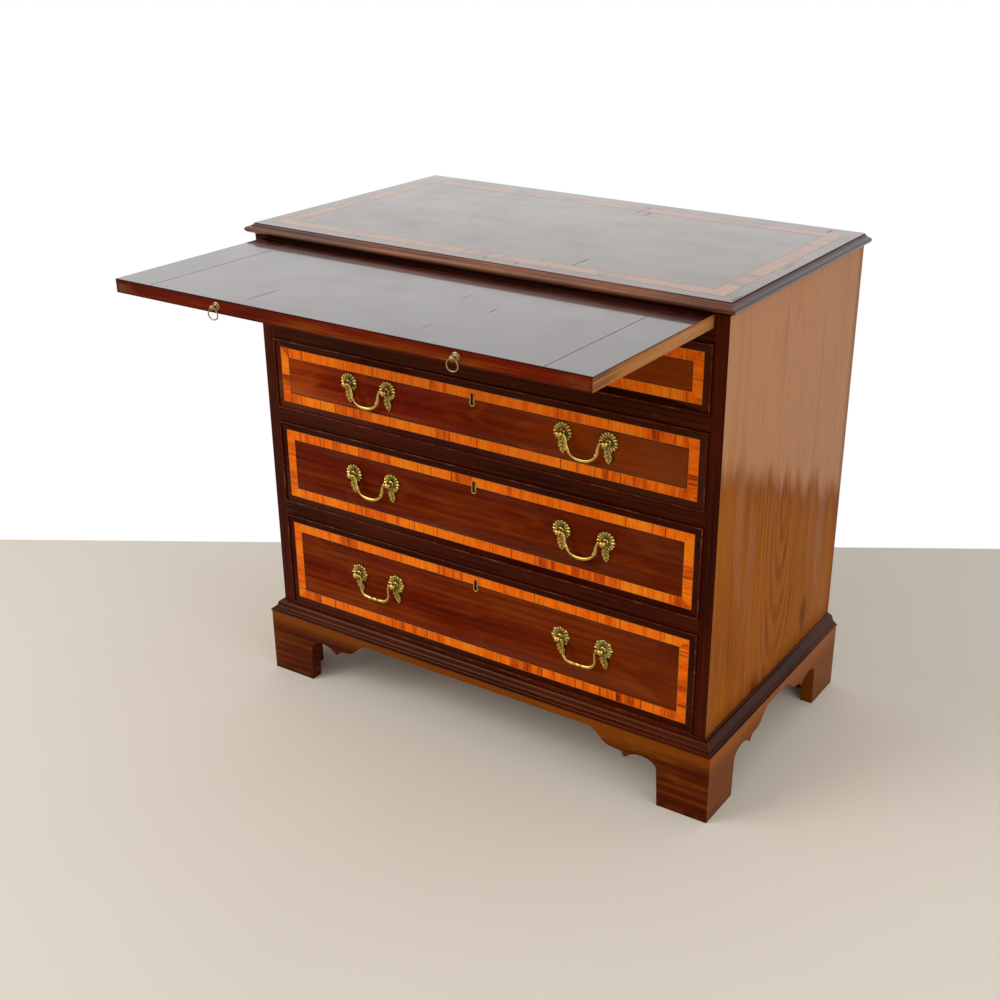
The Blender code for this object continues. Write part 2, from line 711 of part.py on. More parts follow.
def slide_pull(word, centre):
    """The small plate and bored ball that carry a drop ring on the slide's front edge."""
    profile = ball_profile(PULL_BALL_RADIUS, PULL_PIVOT_OUT, PULL_NECK_RADIUS)
    profile += [(PULL_NECK_RADIUS, PULL_PLATE_THICKNESS), (PULL_PLATE_RADIUS, PULL_PLATE_THICKNESS / 2)]
    profile += [(PULL_PLATE_RADIUS, SEAT_GAP), (PULL_NECK_RADIUS, SEAT_GAP)]
    profile += [(PULL_NECK_RADIUS, -PULL_SHANK_LENGTH), (0.0, -PULL_SHANK_LENGTH)]
    post = turned("slide_pull_" + word, profile, (0, -1, 0))
    post.location = centre
    pivot = Vector(centre) - Vector((0, PULL_PIVOT_OUT, 0))
    reach = Vector((PULL_BALL_RADIUS + OVERRUN, 0, 0))
    cut(post, rod("ring_bore", pivot - reach, pivot + reach, RING_WIRE_RADIUS + RING_BORE_CLEARANCE))
    return finish(smooth(gather(post.name, [post], centre)), BRASS, 0.3, 1.0)


def drop_ring(word, pivot):
    """A ring that hangs through a ball's bore and turns on the pivot."""
    bpy.ops.mesh.primitive_torus_add(
        major_segments=RING_STEPS,
        minor_segments=RING_SIDES,
        major_radius=RING_RADIUS,
        minor_radius=RING_WIRE_RADIUS,
        rotation=(math.pi / 2, 0, 0),
        location=pivot - Vector((0, 0, RING_RADIUS)),
    )
    torus = bpy.context.object
    return finish(smooth(gather("slide_ring_" + word, [torus], pivot)), BRASS, 0.3, 1.0)


def brushing_slide():
    """Everything that moves with the slide."""
    rear = SLIDE_FRONT + SLIDE_LENGTH
    half = INNER_HALF - SLIDE_SIDE_CLEARANCE
    joint = half - CLEAT_WIDTH
    pieces = []
    holes = []
    for sign, word in LEFT_AND_RIGHT:
        centre = (sign * PULL_OFFSET, SLIDE_FRONT, (SLIDE_UNDERSIDE + SLIDE_TOP) / 2)
        deep = Vector(centre) + Vector((0, PULL_SHANK_LENGTH + SEAT_GAP, 0))
        mouth = Vector(centre) - Vector((0, OVERRUN, 0))
        holes.append(rod("shank_hole", deep, mouth, PULL_NECK_RADIUS + SEAT_GAP))
        pieces.append(slide_pull(word, centre))
        pieces.append(drop_ring(word, Vector(centre) - Vector((0, PULL_PIVOT_OUT, 0))))
        pieces.append(slide_cleat(sign, word, rear, joint, half))
    pieces.append(slide_panel(rear, joint, holes))
    carrier("slide_carrier", (0.0, SLIDE_FRONT, SLIDE_UNDERSIDE), pieces)


# Drawer boxes


class DrawerPlan:
    """The places of one drawer, worked out from its opening."""

    def __init__(self, number):
        low, high = OPENINGS[number - 1]
        self.number = number
        self.name = "drawer_%d" % number
        self.half = INNER_HALF - FRONT_CLEARANCE
        self.low = low + FRONT_CLEARANCE
        self.high = high - FRONT_CLEARANCE
        self.front_back = FRONT + FRONT_THICKNESS
        self.outer = self.half - LINING_INSET
        self.side_low = low + LINING_LIFT
        self.side_high = high - LINING_TOP_DROP
        self.end = INSIDE_BACK - DRAWER_END_CLEARANCE
        self.panel_low = self.side_low + DRAWER_BOTTOM_RISE
        self.panel_high = self.panel_low + DRAWER_BOTTOM_THICKNESS
        self.tail_tip = self.front_back - DOVETAIL_LENGTH
        self.handle_height = (low + high) / 2 + HANDLE_RAISE
        self.keyhole_height = high - KEYHOLE_DROP


def bottom_piece(plan, name, margin):
    """The thin bottom, grooved into the front and sides and passing under the back."""
    half = plan.outer - LINING_THICKNESS + DRAWER_BOTTOM_TONGUE - SEAT_GAP + margin
    front = plan.front_back - DRAWER_BOTTOM_TONGUE + SEAT_GAP - margin
    corner = (-half, front, plan.panel_low - margin)
    return board(name, corner, (half, plan.end + margin, plan.panel_high + margin))


def tails(low, high):
    """The heights of the dovetails between two heights: root low, tip low, tip high, root high."""
    count = max(2, round((high - low) / DOVETAIL_PITCH))
    pitch = (high - low) / count
    root = pitch * TAIL_ROOT_SHARE / 2
    tip = pitch * TAIL_TIP_SHARE / 2
    middles = [low + (number + 0.5) * pitch for number in range(count)]
    return [(middle - root, middle - tip, middle + tip, middle + root) for middle in middles]


def tail_sockets(plan, sign):
    """The cutter for one side's tails in the drawer front, a little larger than the tails."""
    low, high = between(sign * (plan.outer - LINING_THICKNESS - SEAT_GAP), sign * (plan.half + OVERRUN))
    mouth = plan.front_back + OVERRUN
    bed = plan.tail_tip - SEAT_GAP
    sockets = []
    for low_root, low_tip, high_tip, high_root in tails(plan.side_low, plan.side_high):
        outline = [(mouth, low_root - SEAT_GAP), (plan.front_back, low_root - SEAT_GAP)]
        outline += [(bed, low_tip - SEAT_GAP), (bed, high_tip + SEAT_GAP)]
        outline += [(plan.front_back, high_root + SEAT_GAP), (mouth, high_root + SEAT_GAP)]
        sockets.append(plate("socket", outline, "X", low, high))
    return gather("tail_sockets", sockets)


def drawer_side(plan, sign):
    """One side of the drawer with its dovetails."""
    shoulder = plan.front_back + SEAT_GAP
    outline = [(shoulder, plan.side_low)]
    for low_root, low_tip, high_tip, high_root in tails(plan.side_low, plan.side_high):
        outline += [(shoulder, low_root), (plan.tail_tip, low_tip)]
        outline += [(plan.tail_tip, high_tip), (shoulder, high_root)]
    outline += [(shoulder, plan.side_high), (plan.end, plan.side_high), (plan.end, plan.side_low)]
    low, high = between(sign * plan.outer, sign * (plan.outer - LINING_THICKNESS))
    return plate("lining", outline, "X", low, high)


def drawer_linings(plan):
    """The two sides and the back, glued up, with the groove for the bottom."""
    obj, other = [drawer_side(plan, sign) for sign, _ in LEFT_AND_RIGHT]
    obj.name = plan.name + "_linings"
    across = plan.outer - LINING_THICKNESS + GLUE_LAP
    corner = (-across, plan.end - DRAWER_BACK_THICKNESS, plan.panel_high + SEAT_GAP)
    back = board("drawer_back", corner, (across, plan.end, plan.side_high - DRAWER_BACK_DROP))
    fuse(obj, back, other)
    cut(obj, bottom_piece(plan, "lining_groove", SEAT_GAP))
    return finish(obj, OAK, 0.7)


def keyhole_outline(height):
    """A round hole over a narrow skirt, centred on the given height."""
    half = KEYHOLE_RADIUS * KEYHOLE_SKIRT_WIDTH_SHARE
    start = math.degrees(math.asin(KEYHOLE_SKIRT_WIDTH_SHARE))
    points = arc((0.0, height), (KEYHOLE_RADIUS, KEYHOLE_RADIUS), start - 90, 270 - start, KEYHOLE_STEPS)
    return points + [(-half, height - KEYHOLE_SKIRT), (half, height - KEYHOLE_SKIRT)]


def cockbead(plan):
    """The rounded bead that stands proud round the edge of a drawer front."""
    inner = [
        (-plan.half + COCKBEAD_WIDTH, plan.low + COCKBEAD_WIDTH),
        (plan.half - COCKBEAD_WIDTH, plan.high - COCKBEAD_WIDTH),
    ]
    nose = FRONT - COCKBEAD_PROUD
    outer = rectangle((-plan.half, plan.low), (plan.half, plan.high))
    obj = plate("cockbead", outer, "Y", nose, FRONT + GLUE_LAP, holes=[rectangle(*inner)])
    bm = bmesh.new()
    bm.from_mesh(obj.data)
    flat = min(vert.co.y for vert in bm.verts) + WELD
    face_edges = [edge for edge in bm.edges if all(vert.co.y < flat for vert in edge.verts)]
    rims = [edge for edge in face_edges if len(edge.link_faces) == 2 and edge.calc_face_angle() > 1]
    rounding = COCKBEAD_WIDTH * COCKBEAD_ROUNDING_SHARE
    bmesh.ops.bevel(bm, geom=rims, offset=rounding, segments=2, profile=0.5, affect="EDGES")
    bm.to_mesh(obj.data)
    bm.free()
    return obj


def lock_cutters(plan):
    """The bolt's channel in the front's thickness and the keyhole that leads into it."""
    back = plan.front_back - BOLT_BACK_WALL
    low = plan.high - SEAT_GAP - BOLT_HEIGHT
    reach = BOLT_WIDTH / 2 + BOLT_CLEARANCE
    corner = (-reach, back - BOLT_THICKNESS - BOLT_CLEARANCE, low - BOLT_CLEARANCE)
    channel = board("bolt_channel", corner, (reach, back + BOLT_CLEARANCE, plan.high + OVERRUN))
    chamber_low = plan.keyhole_height - KEYHOLE_SKIRT - BOLT_CLEARANCE
    half = KEY_CHAMBER_WIDTH / 2
    corner = (-half, back - BOLT_THICKNESS, chamber_low)
    chamber = board("key_chamber", corner, (half, back, low + BOLT_CLEARANCE))
    rear = back - BOLT_THICKNESS / 2
    keyhole = plate("keyhole", keyhole_outline(plan.keyhole_height), "Y", FRONT - OVERRUN, rear)
    return [channel, chamber, keyhole]


def lock_bolt(plan):
    """The bolt that rises into the rail above."""
    back = plan.front_back - BOLT_BACK_WALL
    top = plan.high - SEAT_GAP
    corner = (-BOLT_WIDTH / 2, back - BOLT_THICKNESS, top - BOLT_HEIGHT)
    obj = board(plan.name + "_lock_bolt", corner, (BOLT_WIDTH / 2, back, top))
    return finish(obj, STEEL, 0.4, 1.0)


def drawer_front(plan):
    """The front with its cockbead, cut for all that it carries."""
    corner = (-plan.half, FRONT, plan.low)
    obj = board(plan.name + "_front", corner, (plan.half, plan.front_back, plan.high))
    fuse(obj, cockbead(plan))
    cut(obj, bottom_piece(plan, "front_groove", SEAT_GAP), *lock_cutters(plan))
    for sign, _ in LEFT_AND_RIGHT:
        cut(obj, tail_sockets(plan, sign))
    holes = []
    for across, _ in post_places():
        start = (across, FRONT - OVERRUN, plan.handle_height)
        end = (across, plan.front_back + OVERRUN, plan.handle_height)
        holes.append(rod("post_hole", start, end, POST_RADIUS + POST_HOLE_CLEARANCE))
    cut(obj, gather("post_holes", holes))
    return finish(obj, MAHOGANY, 0.25)


# Handles


def post_places():
    """Each handle post's place along the front, and the sign of the way to its handle's middle."""
    places = []
    for handle, _ in LEFT_AND_RIGHT:
        for post, _ in LEFT_AND_RIGHT:
            places.append((handle * HANDLE_OFFSET + post * HANDLE_SPREAD / 2, -post))
    return places


def rosette(plain):
    """A low round boss with a scalloped rim, in front of the plane y = 0."""
    scallops = FLOWER_LOBES if plain else ROSETTE_SCALLOPS
    swell = LOBE_SHARE if plain else SCALLOP_SHARE
    bm = bmesh.new()
    bmesh.ops.create_cone(
        bm,
        cap_ends=True,
        segments=2 * scallops,
        radius1=ROSETTE_RADIUS,
        radius2=ROSETTE_RADIUS * ROSETTE_FACE_SHARE,
        depth=ROSETTE_THICKNESS,
        matrix=Matrix.Rotation(math.pi / 2, 4, "X"),
    )
    for vertex in bm.verts:
        turn = math.atan2(vertex.co.z, vertex.co.x)
        scale = 1 + swell * math.cos(turn * scallops)
        vertex.co.x *= scale
        vertex.co.z *= scale
    return mesh_object("rosette", bm, (0.0, -SEAT_GAP - ROSETTE_THICKNESS / 2, 0.0))


def leaf():
    """The leaf that hangs from a rosette, tapering to a point."""
    top = LEAF_OVERLAP_SHARE * LEAF_LENGTH - ROSETTE_RADIUS
    outline = []
    for step in range(LEAF_STEPS):
        share = step / LEAF_STEPS
        half = LEAF_WIDTH / 2 * math.sin(math.pi * (LEAF_START_SHARE + (1 - LEAF_START_SHARE) * share))
        outline.append((half, top - share * LEAF_LENGTH))
    other_half = [(-half, height) for half, height in reversed(outline)]
    outline += [(0.0, top - LEAF_LENGTH)] + other_half
    return plate("leaf", outline, "Y", -2 * SEAT_GAP - LEAF_THICKNESS, -2 * SEAT_GAP)


def handle_post_shape(plain, inner_sign):
    """A ball-headed post with its rosette, leaf and round nut, about the front's plane at y = 0."""
    collar = SEAT_GAP + ROSETTE_THICKNESS - GLUE_LAP / 2
    end = -FRONT_THICKNESS - SEAT_GAP
    profile = ball_profile(BALL_RADIUS, PIVOT_OUT, COLLAR_RADIUS * NECK_SHARE)
    profile += [(COLLAR_RADIUS, collar + GLUE_LAP / 2 + COLLAR_THICKNESS), (COLLAR_RADIUS, collar)]
    profile += [(POST_RADIUS, collar), (POST_RADIUS, end), (NUT_RADIUS, end), (NUT_RADIUS, end - NUT_THICKNESS)]
    profile += [(0.0, end - NUT_THICKNESS)]
    post = turned("post", profile, (0, -1, 0))
    fuse(post, rosette(plain), leaf())
    pivot = Vector((0, -PIVOT_OUT, 0))
    inward = Vector((inner_sign, 0, 0))
    bed = BALL_RADIUS - PIN_DEPTH - PIN_CLEARANCE
    mouth = BALL_RADIUS + OVERRUN
    cut(post, rod("pin_bore", pivot + inward * bed, pivot + inward * mouth, PIN_RADIUS + PIN_CLEARANCE))
    return smooth(gather("post_shape", [post]))


def bail_line(plain):
    """Half of a bail's centre line, from its pin's shoulder to the middle, as across and down."""
    reach = HANDLE_SPREAD / 2 - BALL_RADIUS - BAIL_END_CLEARANCE
    shares = PLAIN_NECK_SHARES + PLAIN_BOW_SHARES if plain else NECK_SHARES + BOW_SHARES
    return [Vector((across * reach, 0, -down * BAIL_DROP)) for across, down in shares]


def mirrored(point):
    return Vector((-point.x, point.y, point.z))


def bail_shape(plain):
    """A swan-neck bail about its pivot, whose pins turn in the balls of its two posts."""
    half = bail_line(plain)
    body = wire("bail", half + [mirrored(point) for point in reversed(half[:-1])], BAIL_WIRE_RADIUS)
    tip = Vector((HANDLE_SPREAD / 2 - BALL_RADIUS + PIN_DEPTH, 0, 0))
    root = half[0] - Vector((BAIL_WIRE_RADIUS, 0, 0))
    fuse(body, rod("pin", root, tip, PIN_RADIUS), rod("pin", mirrored(tip), mirrored(root), PIN_RADIUS))
    if plain:
        reach = Vector((KNOP_LENGTH / 2, 0, 0))
        fuse(body, rod("knop", half[-1] - reach, half[-1] + reach, KNOP_RADIUS))
    else:
        place = half[len(NECK_SHARES) - 1]
        way = (place - half[len(NECK_SHARES) - 2]).normalized() * BAIL_COLLAR_LENGTH / 2
        fuse(body, rod("collar", place - way, place + way, BAIL_COLLAR_RADIUS))
        fuse(body, rod("collar", mirrored(place - way), mirrored(place + way), BAIL_COLLAR_RADIUS))
    return smooth(gather("bail_shape", [body]))


def copy_of(shape, name, location):
    """A copy of a finished shape with its own mesh, at the given place."""
    obj = bpy.data.objects.new(name, shape.data.copy())
    obj.location = location
    CHEST.objects.link(obj)
    return finish(obj, BRASS, 0.3, 1.0)


def handle_shapes(plain):
    """The pattern pieces that one style of handle is copied from."""
    return {-1: handle_post_shape(plain, -1), 1: handle_post_shape(plain, 1), "bail": bail_shape(plain)}


def handles(plan, shapes):
    """The four posts and two bails of one drawer."""
    pieces = []
    for number, (across, inner_sign) in enumerate(post_places(), start=1):
        place = (across, FRONT, plan.handle_height)
        pieces.append(copy_of(shapes[inner_sign], "%s_post_%d" % (plan.name, number), place))
    for sign, word in LEFT_AND_RIGHT:
        place = (sign * HANDLE_OFFSET, FRONT - PIVOT_OUT, plan.handle_height)
        pieces.append(copy_of(shapes["bail"], "%s_bail_%s" % (plan.name, word), place))
    return pieces


def drawer(number, shapes):
    """One drawer with its lock bolt and handles."""
    plan = DrawerPlan(number)
    bottom = finish(bottom_piece(plan, plan.name + "_bottom", 0.0), OAK, 0.75)
    pieces = [drawer_front(plan), drawer_linings(plan), bottom, lock_bolt(plan)]
    carrier(plan.name + "_carrier", (0.0, FRONT, plan.low), pieces + handles(plan, shapes))


def chest():
    for sign, word in LEFT_AND_RIGHT:
        side(sign, word)
        plinth_side(sign, word)
    plinth_front()
    base_moulding()
    bottom_board()
    back_panel()
    top_board()
    for number, (low, high) in enumerate(FRAME_LEVELS, start=1):
        dust_frame(number, low, high)
    brushing_slide()
    ribbed = handle_shapes(plain=False)
    plain = handle_shapes(plain=True)
    for number in range(1, len(OPENING_HEIGHTS) + 1):
        drawer(number, plain if number == PLAIN_HANDLE_DRAWER else ribbed)
    for shape in list(ribbed.values()) + list(plain.values()):
        bpy.data.objects.remove(shape, do_unlink=True)


chest()
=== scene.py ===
"""The finish of a small Georgian mahogany chest of four drawers with its brushing slide drawn out.

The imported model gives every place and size. This script dresses it: polished mahogany, crossbanding
and stringing, cockbeads, escutcheons, cast brass handles, the weathered back, and a studio to see
them in. All sizes are in metres, +Z is up and -Y is to the front.
"""

import json
import math

import bmesh
import bpy
from bpy.props import FloatProperty, FloatVectorProperty, IntProperty, PointerProperty
from bpy.types import Operator, Panel, PropertyGroup
from mathutils import Matrix, Vector

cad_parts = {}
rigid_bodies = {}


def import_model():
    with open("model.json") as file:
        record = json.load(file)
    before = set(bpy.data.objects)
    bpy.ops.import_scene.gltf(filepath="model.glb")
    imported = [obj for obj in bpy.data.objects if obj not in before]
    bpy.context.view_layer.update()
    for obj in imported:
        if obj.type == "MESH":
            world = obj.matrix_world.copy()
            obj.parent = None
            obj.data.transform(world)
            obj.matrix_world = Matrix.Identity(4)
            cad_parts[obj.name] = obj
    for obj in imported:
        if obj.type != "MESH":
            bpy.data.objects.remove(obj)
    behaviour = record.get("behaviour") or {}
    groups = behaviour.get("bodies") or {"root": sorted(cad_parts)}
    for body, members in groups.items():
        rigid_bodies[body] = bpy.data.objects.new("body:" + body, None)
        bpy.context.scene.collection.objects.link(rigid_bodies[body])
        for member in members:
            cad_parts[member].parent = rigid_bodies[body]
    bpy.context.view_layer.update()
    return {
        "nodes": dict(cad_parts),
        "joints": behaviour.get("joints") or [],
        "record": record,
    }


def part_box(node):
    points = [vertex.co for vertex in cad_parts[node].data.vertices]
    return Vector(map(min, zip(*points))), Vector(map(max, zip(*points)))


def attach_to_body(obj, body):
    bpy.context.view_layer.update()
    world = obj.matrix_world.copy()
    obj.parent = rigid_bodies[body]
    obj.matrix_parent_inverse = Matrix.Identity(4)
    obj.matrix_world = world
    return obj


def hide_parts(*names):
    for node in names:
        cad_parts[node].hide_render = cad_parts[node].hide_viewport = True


bl_info = {
    "name": "Bachelors Chest Finish",
    "version": (1, 0, 0),
    "blender": (4, 5, 0),
    "location": "View3D > Sidebar > Chest",
    "description": "Dresses a mahogany chest with figured veneer, crossbanding and cast brass",
    "category": "Object",
}

for leftover in list(bpy.data.objects):
    bpy.data.objects.remove(leftover, do_unlink=True)
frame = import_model()
RECORD = frame["record"]
NODE_BODY = {node: body for body, nodes in RECORD["behaviour"]["bodies"].items() for node in nodes}

# Places read from the frame
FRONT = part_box("side_left")[0].y
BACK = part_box("side_left")[1].y
HALF_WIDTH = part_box("side_right")[1].x
SLIDE_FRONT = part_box("slide_panel")[0].y
CHEST_MIDDLE = Vector((0.0, (FRONT + BACK) / 2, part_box("top_board")[1].z / 2))
DRAWERS = (1, 2, 3, 4)
PLAIN_HANDLE_DRAWER = 4
SIGNS = ((-1, "left"), (1, "right"))

# Fine distances shared by many pieces
HAIR = 0.00002
WELD = 0.00001
FLAT_ANGLE = math.radians(0.2)


def colour(name, description, default):
    return FloatVectorProperty(
        name=name, description=description, default=default, size=3, min=0.0, max=1.0, subtype="COLOR"
    )


def length(name, description, default):
    return FloatProperty(
        name=name, description=description, default=default, min=0.0, unit="LENGTH", precision=5
    )


class ChestWoods(PropertyGroup):
    """Colours of the woods, as linear red, green and blue."""

    field_dark: colour("Field dark", "Darkest grain of the drawer fronts", (0.050, 0.0016, 0.0003))
    field_mid: colour("Field", "Main colour of the drawer fronts", (0.135, 0.0080, 0.0006))
    field_light: colour("Field light", "Flame-like patches of the drawer fronts", (0.240, 0.040, 0.002))
    rail_dark: colour("Rail dark", "Darkest grain of rails and stiles", (0.008, 0.0011, 0.0007))
    rail_mid: colour("Rail", "Main colour of rails and stiles", (0.038, 0.0042, 0.0011))
    rail_scuff: colour("Rail scuff", "Rubbed places on rails and mouldings", (0.130, 0.026, 0.005))
    top_dark: colour("Top dark", "Darkest grain of the top", (0.052, 0.024, 0.010))
    top_mid: colour("Top", "Main colour of the top", (0.105, 0.058, 0.024))
    top_light: colour("Top light", "Palest grain of the top", (0.165, 0.092, 0.040))
    slide_dark: colour("Slide dark", "Darkest grain of the slide", (0.014, 0.0020, 0.0020))
    slide_mid: colour("Slide", "Main colour of the slide", (0.036, 0.0060, 0.0060))
    slide_light: colour("Slide light", "Palest grain of the slide", (0.075, 0.0180, 0.0140))
    side_dark: colour("Side dark", "Darkest grain of the ends", (0.130, 0.026, 0.0008))
    side_mid: colour("Side", "Main colour of the ends", (0.310, 0.082, 0.0012))
    side_light: colour("Side light", "Palest grain of the ends", (0.370, 0.125, 0.0110))
    # The pale colour of the reflection painted over the upper part of the ends
    side_sheen: colour("Side faded", "The ends where light has faded them", (0.500, 0.250, 0.130))
    foot_dark: colour("Foot dark", "Darkest figure of the feet", (0.030, 0.0022, 0.0004))
    foot_mid: colour("Foot", "Main colour of the feet", (0.080, 0.0095, 0.0006))
    foot_light: colour("Foot light", "Palest figure of the feet", (0.215, 0.052, 0.0025))
    mould_mid: colour("Moulding", "Main colour of the top's moulding", (0.130, 0.030, 0.0060))
    mould_light: colour("Moulding light", "Rubbed swells of the mouldings", (0.300, 0.095, 0.022))
    # Also the cockbead's crown line, which is partly wear and partly a painted highlight
    edge_wear_and_highlight: colour("Edge wear", "Wood where edges are rubbed", (0.170, 0.065, 0.022))
    band_dark: colour("Band dark", "Dark stripes of the crossbanding", (0.230, 0.0150, 0.0005))
    band_mid: colour("Band", "Main colour of the crossbanding", (0.860, 0.130, 0.0015))
    band_light: colour("Band light", "Palest leaves of the crossbanding", (0.880, 0.255, 0.0080))
    top_band: colour("Top band", "Faded crossbanding of the top", (0.380, 0.135, 0.050))
    string_pale: colour("Pale string", "Boxwood lines", (0.380, 0.140, 0.025))
    string_dark: colour("Dark string", "Ebonised lines", (0.012, 0.006, 0.004))
    oak_dark: colour("Oak dark", "Darkest grain of the drawer linings", (0.190, 0.110, 0.046))
    oak_light: colour("Oak light", "Palest grain of the drawer linings", (0.430, 0.290, 0.145))
    pine_dark: colour("Pine dark", "Darkest grain of the back and bottom", (0.130, 0.075, 0.036))
    pine_light: colour("Pine light", "Palest grain of the back and bottom", (0.360, 0.235, 0.125))


class ChestMetals(PropertyGroup):
    """Colours of the metals, as linear red, green and blue."""

    brass: colour("Brass", "Rubbed brass", (0.520, 0.345, 0.080))
    patina: colour("Patina", "Brass in its hollows", (0.085, 0.066, 0.010))
    pull: colour("Ring metal", "The slide's pulls, worn pale", (0.320, 0.225, 0.115))
    steel: colour("Steel", "Lock bolts and nails", (0.200, 0.185, 0.170))


class InlaySizes(PropertyGroup):
    """Sizes of the crossbanding and the string lines."""

    front_inset: length("Front inset", "From a front's edge to its banding", 0.0122)
    front_band: length("Front band", "Width of the fronts' crossbanding", 0.0148)
    top_inset: length("Top inset", "From the top's edge to its banding", 0.032)
    top_band: length("Top band", "Width of the top's crossbanding", 0.0235)
    string: length("String", "Width of a string line", 0.0009)
    leaf: length("Leaf", "Usual length of a leaf of crossbanding", 0.038)
    top_leaf: length("Top leaf", "Usual length of a leaf on the top", 0.026)
    rise: length("Rise", "Height of the inlay over the ground", 0.00005)
    sink: length("Sink", "Depth of the inlay in the ground", 0.0004)
    seed: IntProperty(name="Seed", description="Changes the banding's leaves", default=7)


class EdgeSizes(PropertyGroup):
    """How the joiner and the years have eased the edges."""

    board: length("Board edges", "Rounding of the case's edges", 0.0009)
    slide: length("Slide edges", "Rounding of the slide's edges", 0.0007)
    foot: length("Foot edges", "Rounding of the feet's edges", 0.0013)
    bead: length("Cockbead", "Width of the cockbead", 0.0032)
    bead_proud: length("Cockbead proud", "How far the cockbead stands out", 0.0030)


class BrassSizes(PropertyGroup):
    """Sizes of the castings that are freer than the frame's."""

    rim: length("Rosette rim", "Thickness at a rosette's rim", 0.0010)
    dish: length("Rosette dish", "Height of a rosette's pleats", 0.0032)
    rib: length("Rosette rib", "Depth of the folds between pleats", 0.0016)
    leaf_rise: length("Leaf rise", "Thickness of the leaf at its edges", 0.0021)
    leaf_lift: length("Leaf lift", "How far the leaf's top stands off the front", 0.0030)
    vein: length("Leaf vein", "Depth of the leaf's furrows", 0.0009)
    eyelet: length("Escutcheon", "Thickness of the brass line round a keyhole", 0.0022)


class StageSettings(PropertyGroup):
    """The studio."""

    floor: colour("Floor", "Pale plain floor", (0.780, 0.715, 0.620))
    world: FloatProperty(name="World", description="Level of the light from all round", default=0.62, min=0.0)
    key: FloatProperty(name="Key", description="Power of the large soft lamp", default=62.0, unit="POWER")
    fill: FloatProperty(name="Fill", description="Power of the lamp at the right", default=20.0, unit="POWER")


# Node trees


